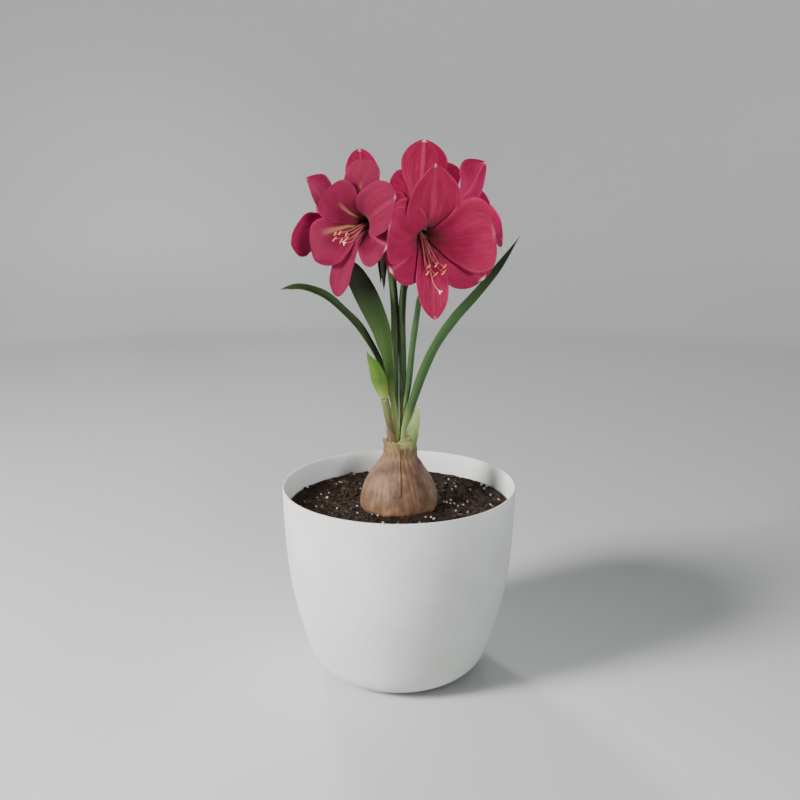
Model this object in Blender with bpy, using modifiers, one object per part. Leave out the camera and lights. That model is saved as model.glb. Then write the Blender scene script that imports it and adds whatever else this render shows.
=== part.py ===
"""Amaryllis in a pot: one large bulb with two flower stalks, in a white planter.

Metres, +Z up. The origin is the middle of the pot's underside, and the front faces -Y.
Points and sizes are written in millimetres and turned into metres by MM.
"""

import math

import bmesh
import bpy
from mathutils import Matrix, Vector, noise

MM = 0.001
# Gap between neighbouring pieces
CLEAR = 0.3

# Pot
POT_HEIGHT = 243.0
POT_FLOOR = 5.0
POT_WALL = 3.2
POT_LIP = 2.0
POT_FLOOR_RADIUS = 84.0
POT_INSIDE_RISE = 1.5
POT_OUTLINE = (
    (144.3, POT_HEIGHT),
    (142.9, 194.0),
    (139.7, 147.0),
    (134.0, 107.0),
    (124.5, 66.0),
    (112.0, 28.0),
    (100.0, 12.0),
    (86.0, 4.0),
    (72.0, 0.0),
)
TURNED_SIDES = 32
ROUND_EDGE_ANGLE = 50.0

# Bulb and soil
SOIL_LEVEL = 215.0
SOIL_RELIEF = 3.5
SOIL_GAP = CLEAR + 0.1
SOIL_EDGE = 3.0
NECK_TOP = 300.0
BULB_BASE = 168.0
BULB_WAIST = 46.3
NECK_HOLE_FLOOR = 285.0
NECK_HOLE_RADIUS = 14.8
BULB_OUTLINE = (
    (16.4, NECK_TOP),
    (16.8, 287.0),
    (20.0, 276.0),
    (30.0, 262.0),
    (40.5, 244.0),
    (46.0, 226.0),
    (46.5, 208.0),
    (42.0, 190.0),
    (31.0, 175.0),
    (15.0, BULB_BASE),
)

# Flower stalks: where each stands in the neck and where its umbel opens
STALKS = {
    "left": {
        "route": ((-5.4, 3.6, 285.3), (-5.2, 3.8, 390.0), (-5.6, 4.0, 470.0), (-16.0, 4.0, 556.0)),
        "radius": 5.2,
    },
    "right": {
        "route": ((5.2, 1.6, 285.3), (4.6, 0.0, 390.0), (4.4, 0.5, 470.0), (16.0, 6.0, 558.0)),
        "radius": 4.7,
    },
}
STALK_TAPER = 0.92
KNOB_RADIUS = 7.2
PEDICEL_RADIUS = 2.6
OVARY_RADIUS = 4.6
OVARY_LENGTH = 13.0

# Perianth tube and the hollow in its throat
TUBE_LENGTH = 12.0
TUBE_FOOT = 4.2
TUBE_MOUTH = 7.0
CUP_RADIUS = 4.8
CUP_DEPTH = 7.0
TUBE_SIDES = 10
BLADE = 1.0
TEPAL_ROWS = 7
TEPAL_COLUMNS = 4
WHORL_STEP = 1.4
WHORL_SPREAD = 4.0
FLARE_REACH = 84.0

# Stamens
FILAMENT_RADIUS = 0.75
ANTHER_RADIUS = 1.35
STIGMA_RADIUS = 1.7
BOSS_RADIUS = 2.9
FOOT_RING = 1.6

# Leaves
LEAF_THICKNESS = 1.4
LEAF_ROWS = 12
LEAF_COLUMNS = 4

COLOURS = {
    "pot": ((0.80, 0.81, 0.80), 0.75),
    "soil": ((0.045, 0.03, 0.02), 0.95),
    "bulb": ((0.30, 0.17, 0.08), 0.7),
    "stalk": ((0.10, 0.18, 0.06), 0.45),
    "petal": ((0.42, 0.025, 0.085), 0.5),
    "stamen": ((0.85, 0.42, 0.25), 0.6),
    "leaf": ((0.045, 0.10, 0.03), 0.4),
    "young_leaf": ((0.25, 0.42, 0.10), 0.45),
    "sheath": ((0.20, 0.09, 0.04), 0.7),
    "bract": ((0.06, 0.05, 0.03), 0.8),
}


def clear_scene():
    """Starts from an empty scene."""
    for item in list(bpy.data.objects):
        bpy.data.objects.remove(item, do_unlink=True)


def material(name):
    found = bpy.data.materials.get(name)
    if found:
        return found
    colour, roughness = COLOURS[name]
    made = bpy.data.materials.new(name)
    made.use_nodes = True
    shader = made.node_tree.nodes["Principled BSDF"]
    shader.inputs["Base Color"].default_value = (*colour, 1.0)
    shader.inputs["Roughness"].default_value = roughness
    shader.inputs["Metallic"].default_value = 0.0
    return made


def collection(name):
    found = bpy.data.collections.get(name)
    if not found:
        found = bpy.data.collections.new(name)
        bpy.context.scene.collection.children.link(found)
    return found


def add_object(name, mesh, finish):
    """A named piece of the part, in the part's own collection."""
    made = bpy.data.objects.new(name, mesh)
    mesh.materials.clear()
    mesh.materials.append(material(finish))
    mesh.shade_smooth()
    mesh.set_sharp_from_angle(angle=math.radians(ROUND_EDGE_ANGLE))
    collection("amaryllis_in_pot").objects.link(made)
    return made


def evaluated_mesh(item):
    """The object's mesh with its modifiers applied."""
    bpy.context.view_layer.update()
    graph = bpy.context.evaluated_depsgraph_get()
    return bpy.data.meshes.new_from_object(item.evaluated_get(graph))


def smooth_step(value):
    value = min(max(value, 0.0), 1.0)
    return value * value * (3.0 - 2.0 * value)


def turned_mesh(name, profile, sides):
    """A closed outline in the XZ plane, turned about Z. The outline runs down its outer side."""
    mesh = bpy.data.meshes.new(name)
    points = [(radius * MM, 0.0, height * MM) for radius, height in profile]
    edges = [(i, i + 1) for i in range(len(points) - 1)]
    mesh.from_pydata(points, [*edges, (len(points) - 1, 0)], [])
    guide = scratch_object(name + "_profile", mesh)
    screw = guide.modifiers.new("turn", "SCREW")
    screw.steps = sides
    screw.render_steps = sides
    screw.use_merge_vertices = True
    screw.merge_threshold = 0.00005
    whole = evaluated_mesh(guide)
    bpy.data.objects.remove(guide, do_unlink=True)
    shell = bmesh.new()
    shell.from_mesh(whole)
    bmesh.ops.remove_doubles(shell, verts=shell.verts[:], dist=0.00001)
    on_axis = [edge for edge in shell.edges if not edge.link_faces]
    bmesh.ops.delete(shell, geom=on_axis, context="EDGES")
    bmesh.ops.triangulate(shell, faces=shell.faces[:])
    shell.to_mesh(whole)
    shell.free()
    return whole


def turned(name, profile, finish):
    return add_object(name, turned_mesh(name, profile, TURNED_SIDES), finish)


def fuse(name, pieces, finish):
    """Joins the pieces, which are closed meshes that overlap, into one body."""
    first, others = pieces[0], pieces[1:]
    tools = collection("cutters")
    group = bpy.data.collections.new(name + "_pieces")
    tools.children.link(group)
    for item in others:
        tools.objects.unlink(item)
        group.objects.link(item)
    union = first.modifiers.new("join", "BOOLEAN")
    union.operation = "UNION"
    union.operand_type = "COLLECTION"
    union.collection = group
    # The exact solver leaves touching edges where thin blades meet the tube.
    union.solver = "MANIFOLD"
    whole = evaluated_mesh(first)
    for item in pieces:
        bpy.data.objects.remove(item, do_unlink=True)
    bpy.data.collections.remove(group)
    return add_object(name, whole, finish)


def scratch_object(name, mesh):
    """A piece that is only made to be joined into another."""
    made = bpy.data.objects.new(name, mesh)
    collection("cutters").objects.link(made)
    return made


def smooth_route(points, count):
    """Points on a smooth curve through the given ones, in mm, as Vectors."""
    nodes = [Vector(point) for point in points]
    nodes = [2 * nodes[0] - nodes[1], *nodes, 2 * nodes[-1] - nodes[-2]]
    spans = len(nodes) - 3
    found = []
    for i in range(count):
        place = i / (count - 1) * spans
        span = min(int(place), spans - 1)
        u = place - span
        a, b, c, d = nodes[span : span + 4]
        found.append(
            0.5
            * (
                2 * b
                + (c - a) * u
                + (2 * a - 5 * b + 4 * c - d) * u * u
                + (3 * b - a - 3 * c + d) * u * u * u
            )
        )
    return found


def rod(name, points, radii, resolution):
    """A closed round rod through the points, in mm, with a radius at each of them."""
    curve = bpy.data.curves.new(name, "CURVE")
    curve.dimensions = "3D"
    curve.bevel_depth = MM
    curve.bevel_resolution = resolution
    curve.use_fill_caps = True
    line = curve.splines.new("POLY")
    line.points.add(len(points) - 1)
    for target, place, radius in zip(line.points, points, radii):
        target.co = (*(Vector(place) * MM), 1.0)
        target.radius = radius
    guide = bpy.data.objects.new(name + "_curve", curve)
    collection("cutters").objects.link(guide)
    mesh = evaluated_mesh(guide)
    bpy.data.objects.remove(guide, do_unlink=True)
    shell = bmesh.new()
    shell.from_mesh(mesh)
    bmesh.ops.remove_doubles(shell, verts=shell.verts[:], dist=0.00001)
    bmesh.ops.recalc_face_normals(shell, faces=shell.faces[:])
    bmesh.ops.triangulate(shell, faces=shell.faces[:])
    shell.to_mesh(mesh)
    shell.free()
    return scratch_object(name, mesh)


def blade(name, shape, rows, columns, thickness, tip_rows=1.0):
    """A thin leaf or petal: a flat grid bent by shape(s, t), s from -1 to 1 across and t from
    0 at the root to 1 at the tip, then split into triangles and thickened to both sides."""
    sheet = bmesh.new()
    bmesh.ops.create_grid(sheet, x_segments=columns, y_segments=rows, size=1.0)
    for vertex in sheet.verts:
        # The rows lie closer together towards the tip, where the outline turns.
        along = 1.0 - (1.0 - (vertex.co.y + 1.0) / 2.0) ** tip_rows
        vertex.co = shape(vertex.co.x, along) * MM
    bmesh.ops.remove_doubles(sheet, verts=sheet.verts[:], dist=0.0002)
    bmesh.ops.triangulate(sheet, faces=sheet.faces[:], quad_method="FIXED")
    mesh = bpy.data.meshes.new(name)
    sheet.to_mesh(mesh)
    sheet.free()
    made = scratch_object(name, mesh)
    solid = made.modifiers.new("thickness", "SOLIDIFY")
    solid.thickness = thickness * MM
    solid.offset = 0.0
    whole = evaluated_mesh(made)
    bpy.data.objects.remove(made, do_unlink=True)
    return scratch_object(name, whole)


def keep(item, name, finish):
    """Turns a scratch piece into a finished one."""
    mesh = item.data
    bpy.data.objects.remove(item, do_unlink=True)
    return add_object(name, mesh, finish)


def make_pot():
    outer = list(POT_OUTLINE)
    inner = []
    for radius, height in reversed(outer[1:-2]):
        inner.append((radius - POT_WALL, height + POT_INSIDE_RISE))
    floor = [(0.0, POT_FLOOR), (POT_FLOOR_RADIUS, POT_FLOOR)]
    lip = [(outer[0][0] - POT_LIP, POT_HEIGHT)]
    profile = [*outer, (0.0, 0.0)]
    return turned("pot", [*profile, *floor, *inner, *lip], "pot")


def pot_inside(level):
    """The pot's inner radius at a height, in mm."""
    rows = [(height + POT_INSIDE_RISE, radius - POT_WALL) for radius, height in POT_OUTLINE[1:-2]]
    rows.sort()
    for (low, first), (high, second) in zip(rows, rows[1:]):
        if low <= level <= high:
            return first + (second - first) * (level - low) / (high - low)
    return rows[0][1]


def make_bulb():
    hole = [(0.0, NECK_HOLE_FLOOR), (NECK_HOLE_RADIUS, NECK_HOLE_FLOOR)]
    rim = [(NECK_HOLE_RADIUS, NECK_TOP)]
    bulb = turned("bulb", [*BULB_OUTLINE, (0.0, BULB_BASE), *hole, *rim], "bulb")
    for vertex in bulb.data.vertices:
        place = vertex.co / MM
        turn = math.atan2(place.y, place.x)
        if place.z > NECK_TOP - 1.0:
            # The dry scales end in a torn, uneven edge.
            vertex.co.z += (2.2 * math.sin(5 * turn) + 1.5 * math.sin(9 * turn + 1.0)) * MM
        elif SOIL_LEVEL + 8.0 < place.z and place.xy.length > NECK_HOLE_RADIUS + 1.0:
            swell = 1.0 + 0.012 * math.sin(7 * turn) + 0.008 * math.sin(11 * turn + 2.0)
            vertex.co.x *= swell
            vertex.co.y *= swell
    return bulb


def make_soil():
    """Fills the pot from its floor to below the rim, with the bulb's hole in its middle."""
    outer = [(pot_inside(SOIL_LEVEL) - SOIL_GAP, SOIL_LEVEL)]
    for radius, height in POT_OUTLINE[1:-2]:
        if height + POT_INSIDE_RISE < SOIL_LEVEL:
            outer.append((radius - POT_WALL - SOIL_GAP, height + POT_INSIDE_RISE))
    floor = [(POT_FLOOR_RADIUS - 1.0, POT_FLOOR + CLEAR), (0.0, POT_FLOOR + CLEAR)]
    hole = [(0.0, BULB_BASE - CLEAR)]
    for radius, height in reversed(BULB_OUTLINE):
        if height < SOIL_LEVEL:
            drop = SOIL_GAP if height < BULB_BASE + 10 else 0.0
            hole.append((radius + SOIL_GAP, height - drop))
    edge = BULB_WAIST + SOIL_GAP
    hole.append((edge, SOIL_LEVEL))
    rings = [edge + 8 + (outer[0][0] - edge - 16) * i / 4 for i in range(5)]
    top = [(radius, SOIL_LEVEL) for radius in rings]
    soil = turned("soil", [*outer, *floor, *hole, *top], "soil")
    for vertex in soil.data.vertices:
        place = vertex.co / MM
        reach = place.xy.length
        if abs(place.z - SOIL_LEVEL) < 0.1 and edge + SOIL_EDGE < reach < outer[0][0] - SOIL_EDGE:
            rough = noise.noise(place * 0.055) + 0.6 * noise.noise(place * 0.16)
            vertex.co.z += SOIL_RELIEF * rough * MM
    return soil


class Bloom:
    """Where a flower sits: foot is the middle of its tube's foot, axis the way it faces."""

    def __init__(self, name, stalk, throat, axis, tepals, stamens):
        self.name = name
        self.stalk = stalk
        self.forward = Vector(axis).normalized()
        self.right = Vector((0, 0, 1)).cross(self.forward).normalized()
        self.upward = self.forward.cross(self.right)
        self.foot = Vector(throat) - self.forward * TUBE_LENGTH
        self.tepals = tepals
        self.stamens = stamens

    def place(self, point):
        """From the flower's own axes (right, up, forward from the throat) to the part's, mm."""
        throat = self.foot + self.forward * TUBE_LENGTH
        return throat + self.right * point[0] + self.upward * point[1] + self.forward * point[2]

    def matrix(self):
        """Turns a shape made about Z so that it stands on the foot and points forward."""
        turn = Matrix((self.right, self.upward, self.forward)).transposed().to_4x4()
        return Matrix.Translation(self.foot * MM) @ turn


class Tepal:
    """One of a flower's six: angle round the axis in degrees (0 right, 90 up), length and
    width in mm, flare away from the axis in degrees, and how its edges and tip bend."""

    def __init__(self, angle, length, width, flare, outer=False, curl=0.0, cup=0.0, wave=2.0,
                 phase=0.0, lean=0.0, twist=0.0, start=12.0, point=0.72, rise=1.3):
        self.angle = math.radians(angle)
        self.length = length
        self.width = width
        self.flare = flare
        self.outer = outer
        self.curl = curl
        self.cup = cup
        self.wave = wave
        self.phase = phase
        self.lean = lean
        self.twist = math.radians(twist)
        self.start = start
        self.point = point
        self.rise = rise

    def midrib(self, t):
        """(distance from the axis, distance along it, slope) at t, by walking along the rib."""
        steps = max(1, round(t * 24))
        out, along = CUP_RADIUS + 0.45, -CUP_DEPTH * 0.55
        slope = math.radians(self.start)
        for i in range(steps):
            u = (i + 0.5) / steps * t
            slope = self.start + (self.flare - self.start) * smooth_step(u * self.length / FLARE_REACH)
            slope += self.curl * smooth_step((u - 0.62) / 0.38)
            slope = math.radians(slope)
            step = self.length * t / steps
            out += math.sin(slope) * step
            along += math.cos(slope) * step
        return out, along, slope

    def half_width(self, t):
        """Narrow at the claw, widest past the middle, drawn to a point."""
        peak = self.rise / (self.rise + self.point)
        top = peak**self.rise * (1 - peak) ** self.point
        body = t**self.rise * (1 - t) ** self.point / top
        claw = 2.4 * (1 - smooth_step(t / 0.5))
        full = claw + self.width / 2 * body
        # Down in the funnel a tepal is no wider than its third of the way round.
        room = 0.93 * self.midrib(t)[0]
        return full * room / (full**5 + room**5) ** 0.2

    def shape(self, s, t):
        """The point of the blade in the flower's own axes, mm."""
        out, along, slope = self.midrib(t)
        half = self.half_width(t)
        across = s * half
        # It hugs the funnel at the throat and lies flat at the tip.
        wrap = 1.0 - t**1.6
        turn = wrap * across / out
        turn = max(-1.25, min(1.25, turn))
        flat = across - turn * out
        swell = smooth_step((t - 0.15) / 0.45)
        lift = self.cup * half * s * s * swell
        ruffle = smooth_step((t - 0.35) / 0.3) * (1.0 - 0.7 * smooth_step((t - 0.85) / 0.15))
        side = 1.6 if s > 0 else 0.0
        lift += self.wave * abs(s) ** 1.6 * ruffle * math.sin(9.0 * t + self.phase + side)
        if self.outer:
            lift -= WHORL_STEP + WHORL_SPREAD * t
        roll = self.twist * t * t
        flat, lift = (
            flat * math.cos(roll) - lift * math.sin(roll),
            flat * math.sin(roll) + lift * math.cos(roll),
        )
        flat += self.lean * t * t
        out -= math.cos(slope) * lift
        along += math.sin(slope) * lift
        angle = self.angle + turn
        return Vector(
            (
                out * math.cos(angle) - flat * math.sin(angle),
                out * math.sin(angle) + flat * math.cos(angle),
                along,
            )
        )


def make_perianth(bloom):
    """The tube, hollow in its throat, and the six tepals that grow from it."""
    # The tube's seat on the ovary lies in the foot's plane; its mouth is at the throat.
    profile = [
        (TUBE_MOUTH, TUBE_LENGTH + 1.0),
        (TUBE_MOUTH - 0.6, TUBE_LENGTH - 4.0),
        (TUBE_FOOT, CLEAR),
        (0.0, CLEAR),
    ]
    cup = [(0.0, TUBE_LENGTH - CUP_DEPTH), (CUP_RADIUS - 0.6, TUBE_LENGTH - CUP_DEPTH)]
    mouth = [(CUP_RADIUS, TUBE_LENGTH + 1.0)]
    whole = turned_mesh("tube", [*profile, *cup, *mouth], TUBE_SIDES)
    whole.transform(bloom.matrix())
    pieces = [scratch_object("tube", whole)]
    for i, tepal in enumerate(bloom.tepals):
        pieces.append(
            blade(
                f"tepal_{i}",
                lambda s, t: bloom.place(tepal.shape(s, t)),
                TEPAL_ROWS,
                TEPAL_COLUMNS,
                BLADE,
                tip_rows=1.55,
            )
        )
    return fuse("bloom_" + bloom.name, pieces, "petal")


def make_stamens(bloom):
    """Six filaments that bend down and up again, each with its anther, and the longer style.
    They stand in a small boss in the throat's hollow."""
    length, droop, spread = bloom.stamens
    floor = -CUP_DEPTH + CLEAR
    boss = rod(
        "boss",
        [bloom.place((0, 0, floor)), bloom.place((0, 0, floor + 3.0))],
        [BOSS_RADIUS, BOSS_RADIUS],
        1,
    )
    pieces = [boss]
    for i in range(7):
        style = i == 6
        turn = math.radians(60 * i + 30)
        foot = (0, 0) if style else (FOOT_RING * math.cos(turn), FOOT_RING * math.sin(turn))
        reach = length * (1.22 if style else 0.93 + 0.05 * math.sin(3.1 * i))
        wide = -0.1 * spread if style else spread * math.cos(turn)
        high = -droop * (1.9 if style else 1.0) + (0.0 if style else 0.45 * spread * math.sin(turn))
        points = []
        radii = []
        for u in (0.0, 0.13, 0.4, 0.7, 0.97):
            bend = math.sin(u * math.pi * 0.5) ** 1.9
            points.append(
                bloom.place(
                    (
                        foot[0] + wide * u**1.3,
                        foot[1] + high * bend * (1.0 + 0.35 * math.sin(math.pi * u)),
                        floor + 1.5 + reach * u,
                    )
                )
            )
            radii.append(FILAMENT_RADIUS * (1.15 - 0.35 * u))
        end = points[-1]
        if style:
            points.append(end + bloom.forward * 2.6)
            radii += [STIGMA_RADIUS]
        else:
            hook = bloom.right * math.cos(turn * 2 + i) + bloom.upward * math.sin(turn * 2 + i)
            points.append(end + bloom.forward * 1.6 + hook * 2.0)
            points.append(end + bloom.forward * 1.6 + hook * 6.4)
            radii += [ANTHER_RADIUS * 1.1, 0.7]
        pieces.append(rod(f"stamen_{i}", points, radii, 0))
    return fuse("stamens_" + bloom.name, pieces, "stamen")


def make_stalk(side, blooms):
    """A flower stalk with its knob, and a stem and an ovary for each of its flowers."""
    stalk = STALKS[side]
    route = smooth_route(stalk["route"], 9)
    radii = [stalk["radius"] * (1 - (1 - STALK_TAPER) * i / 8) for i in range(9)]
    top = route[-1]
    shaft = route[:-1] + [top - Vector((0, 0, 5.0)), top, top + Vector((0, 0, 3.5))]
    radii = radii[:-1] + [KNOB_RADIUS * 0.9, KNOB_RADIUS, KNOB_RADIUS * 0.6]
    pieces = [rod("shaft", shaft, radii, 2)]
    for bloom in blooms:
        back = -bloom.forward
        seat = bloom.foot
        belly = seat + back * OVARY_LENGTH * 0.5
        base = seat + back * OVARY_LENGTH
        start = top + (base - top).normalized() * 2.0
        middle = (start + base) / 2 + Vector((0, 0, 1.5)) + back * 1.5
        stem = smooth_route((start, middle, base), 5) + [belly, seat]
        size = [PEDICEL_RADIUS * 1.15] + [PEDICEL_RADIUS] * 4
        pieces.append(rod("stem_" + bloom.name, stem, size + [OVARY_RADIUS, TUBE_FOOT], 1))
    return fuse("stalk_" + side, pieces, "stalk")


class Leaf:
    """A strap leaf or bract. Its route runs from the root to the tip, each point with the
    width there, in mm; faces are the ways its upper side looks at the root and the tip."""

    def __init__(self, name, route, face_root, face_tip, channel=0.25, root_channel=0.1,
                 finish="leaf", rows=LEAF_ROWS):
        self.name = name
        self.line = smooth_route(route, 61)
        self.faces = (Vector(face_root).normalized(), Vector(face_tip).normalized())
        self.channel = channel
        self.root_channel = root_channel
        self.finish = finish
        self.rows = rows

    def shape(self, s, t):
        place = t * (len(self.line) - 1)
        i = min(int(place), len(self.line) - 2)
        here = self.line[i].lerp(self.line[i + 1], place - i)
        middle = here.xyz
        ahead = (self.line[i + 1] - self.line[i]).xyz.normalized()
        face = self.faces[0].lerp(self.faces[1], t)
        side = ahead.cross(face).normalized()
        up = side.cross(ahead)
        half = max(here.w, 0.0) / 2
        hollow = self.root_channel + (self.channel - self.root_channel) * smooth_step(t / 0.3)
        lift = hollow * half * s * s * 2 * (1 - 0.5 * t)
        return middle + side * half * s + up * lift


LEAVES = [
    Leaf(
        "leaf_arching_left",
        ((0.4, 10.9, 285.4, 4.5), (-6.6, 13.0, 335.6, 8.8), (-14.7, 13.0, 364.4, 9.7),
         (-25.5, 12.0, 395.6, 10.3), (-36.8, 11.5, 417.7, 11.2), (-50.4, 11.0, 438.4, 12.7),
         (-66.8, 12.0, 455.5, 12.4), (-84.3, 14.0, 471.1, 12.8), (-99.3, 18.0, 478.5, 13.3),
         (-116.3, 21.0, 483.3, 11.9), (-130.3, 23.5, 483.1, 9.5), (-146.0, 26.0, 480.6, 0.0)),
        (0.8, -0.6, 0.0), (0.2, -0.5, 0.85), channel=0.3, root_channel=0.0, rows=14,
    ),
    Leaf(
        "leaf_broad_left",
        ((0.4, -4.9, 285.4, 5.0), (-4.6, -8.0, 335.8, 5.6), (-8.2, -10.0, 357.5, 6.2),
         (-10.4, -12.0, 380.2, 8.0), (-13.6, -13.5, 402.9, 12.2), (-17.5, -14.0, 420.3, 17.9),
         (-22.2, -13.5, 439.7, 23.2), (-34.4, -11.0, 467.8, 27.9), (-45.3, -6.5, 489.0, 27.3),
         (-55.8, -1.0, 506.7, 21.3), (-68.4, 4.0, 526.5, 0.0)),
        (0.0, 1.0, 0.0), (0.25, 1.0, 0.1), channel=0.12, root_channel=0.05, rows=15,
    ),
    Leaf(
        "leaf_narrow_middle",
        ((7.6, -5.0, 285.4, 4.5), (7.2, -6.8, 334.3, 5.0), (9.5, -7.6, 351.9, 6.4),
         (12.3, -8.4, 370.7, 7.5), (15.4, -9.3, 404.0, 8.0), (18.2, -10.0, 428.4, 8.1),
         (21.8, -11.0, 453.9, 7.9), (24.5, -12.0, 473.9, 6.7), (28.5, -12.0, 491.5, 0.0)),
        (-0.2, 1.0, 0.0), (-0.5, 1.0, 0.2), channel=0.35, rows=12,
    ),
    Leaf(
        "leaf_long_right",
        ((3.6, -9.2, 285.4, 6.0), (6.7, -11.5, 315.3, 7.2), (12.5, -13.5, 332.2, 10.9),
         (18.3, -15.5, 350.3, 12.6), (30.2, -18.0, 385.4, 14.3), (45.9, -21.5, 420.2, 15.9),
         (67.3, -24.5, 451.4, 17.5), (93.9, -24.0, 481.7, 18.0), (118.8, -19.0, 512.7, 15.0),
         (140.2, -10.0, 546.7, 0.0)),
        (-0.3, 1.0, 0.0), (-0.8, 0.6, 0.5), channel=0.35, rows=15,
    ),
    Leaf(
        "leaf_stub_right",
        ((16.9, 13.2, 275.8, 15.0), (18.0, 13.4, 293.5, 14.5), (20.5, 12.8, 311.0, 12.0),
         (22.5, 12.0, 328.0, 7.5), (23.7, 11.5, 342.0, 0.0)),
        (-0.79, -0.61, 0.0), (-0.79, -0.61, 0.0), channel=0.25, root_channel=0.08, rows=8,
        finish="young_leaf",
    ),
    Leaf(
        "leaf_short",
        ((-17.6, -16.2, 354.6, 9.0), (-21.1, -18.0, 365.2, 15.5), (-24.8, -21.5, 378.2, 18.2),
         (-27.4, -23.5, 387.8, 16.2), (-30.2, -26.0, 397.1, 12.3), (-34.5, -28.5, 406.2, 6.7),
         (-37.9, -30.5, 414.5, 0.0)),
        (0.1, 1.0, 0.15), (0.1, 1.0, 0.3), channel=0.3, root_channel=0.3, rows=9,
        finish="young_leaf",
    ),
]

SHEATH_ROUTE = ((-7.6, -8.0, 285.3), (-7.9, -8.3, 303.0), (-12.6, -12.3, 328.5), (-17.0, -15.6, 353.9))
SHEATH_RADII = (2.8, 2.9, 3.9, 4.4, 4.2)

BRACTS = {
    "bract_left_front": ((-18.0, -3.2, 550.0), (-18.6, -15.0, 536.0), (-18.0, -19.0, 512.0), (-17.5, -19.0, 484.0)),
    "bract_left_back": ((-17.0, 11.4, 552.0), (-20.0, 22.0, 540.0), (-22.0, 25.0, 515.0), (-22.0, 23.0, 488.0)),
    "bract_right_front": ((14.0, -1.2, 551.5), (11.5, -10.0, 537.0), (10.5, -11.0, 512.0), (10.5, -9.5, 485.5)),
    "bract_right_back": ((17.0, 13.4, 553.0), (20.0, 23.0, 542.0), (22.0, 26.0, 518.0), (22.0, 25.0, 492.0)),
}
BRACT_WIDTHS = (4.5, 7.5, 7.5, 0.0)


def make_bract(name, route):
    face = Vector((0.1, -1.0 if "back" in name else 1.0, 0.3))
    points = [(*point, width) for point, width in zip(route, BRACT_WIDTHS)]
    strip = Leaf(name, points, face, face, channel=0.35, rows=8)
    made = blade(name, strip.shape, strip.rows, 2, 0.8)
    return keep(made, name, "bract")


def front_right_tepals():
    return (
        Tepal(92, 121, 69, 71, outer=True, curl=3, cup=0.11, wave=1.0, phase=0.5, lean=4,
              twist=13, point=0.95, rise=1.2),
        Tepal(16, 96, 98, 69, curl=-4, cup=0.02, wave=2.0, phase=1.0, lean=2, twist=-10,
              point=0.38),
        Tepal(-36, 98, 53, 81, outer=True, curl=9, cup=-0.02, wave=1.6, phase=2.2, lean=4,
              twist=18, point=0.38),
        Tepal(-88, 107, 37, 63, cup=0.04, wave=0.8, phase=0.0, rise=1.35),
        Tepal(-151, 78, 66, 67, outer=True, curl=8, wave=1.4, phase=1.2, twist=4, point=0.54),
        Tepal(159, 92, 80, 65, curl=-5, cup=0.03, wave=1.8, phase=2.8, lean=-8, twist=20,
              point=0.41),
    )


def front_left_tepals():
    return (
        Tepal(79, 95, 41, 82, outer=True, curl=11, cup=-0.03, wave=1.2, phase=0.3, lean=-8,
              point=0.37),
        Tepal(130, 71, 63, 69, wave=1.0, phase=1.4, lean=-10, point=0.46),
        Tepal(211, 80, 72, 72, outer=True, curl=-3, cup=0.3, wave=1.0, phase=2.0, lean=4,
              twist=36, point=0.7),
        Tepal(261, 102, 26, 68, curl=11, cup=0.14, wave=0.6, phase=0.4, lean=1, point=0.54),
        Tepal(334, 74, 72, 68, outer=True, curl=8, cup=0.2, wave=1.2, phase=1.8, lean=3,
              point=0.38),
        Tepal(24, 107, 58, 64, curl=-2, cup=0.13, wave=1.6, phase=2.6, lean=4, twist=-32,
              point=0.6),
    )


def left_side_tepals():
    """Two tepals show past the front flower; those on its far side are shorter."""
    return (
        Tepal(52, 87, 68, 72, outer=True, curl=-18, cup=-0.35, wave=0.6, phase=0.4, lean=-5,
              twist=-8, start=11, point=0.95, rise=1.05),
        Tepal(-38, 89, 66, 63, curl=-11, cup=-0.05, wave=0.6, phase=1.5, lean=3, twist=15,
              start=11, point=0.7),
        Tepal(-93, 68, 44, 60, outer=True, cup=0.1, wave=0.8, phase=2.6, start=11),
        Tepal(-147, 78, 46, 52, cup=0.1, wave=0.8, phase=3.7, start=11),
        Tepal(164, 80, 48, 60, outer=True, cup=0.05, wave=0.8, phase=4.8, start=11),
        Tepal(108, 80, 46, 56, cup=0.1, wave=0.8, phase=5.9, start=11),
    )


def left_back_tepals():
    return (
        Tepal(91, 102, 44, 62, outer=True, curl=-10, cup=-0.1, wave=1.2, phase=0.8, twist=-9,
              point=0.66),
        Tepal(32, 78, 48, 54, cup=0.05, wave=1.2, phase=1.9),
        Tepal(-28, 80, 48, 60, outer=True, curl=6, wave=1.2, phase=3.0),
        Tepal(-88, 92, 38, 56, cup=0.05, wave=0.8, phase=4.1),
        Tepal(-148, 76, 46, 58, outer=True, curl=6, wave=1.2, phase=5.2),
        Tepal(152, 72, 46, 52, cup=0.05, wave=1.2, phase=6.3),
    )


def right_side_tepals():
    return (
        Tepal(116, 86, 80, 72, outer=True, curl=-18, cup=-0.38, wave=0.8, phase=0.9, lean=10,
              twist=25, start=11, point=0.82, rise=1.05),
        Tepal(52, 80, 50, 58, cup=0.1, wave=0.8, phase=2.0, start=11),
        Tepal(-12, 80, 50, 64, outer=True, cup=0.05, wave=0.8, phase=3.1, start=11),
        Tepal(-74, 80, 44, 54, cup=0.1, wave=0.8, phase=4.2, start=11),
        Tepal(-142, 91, 63, 66, outer=True, curl=8, cup=0.14, wave=0.8, phase=5.3, lean=3,
              twist=-7, start=11),
        Tepal(176, 62, 46, 52, cup=0.1, wave=0.8, phase=6.4, start=11),
    )


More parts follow.
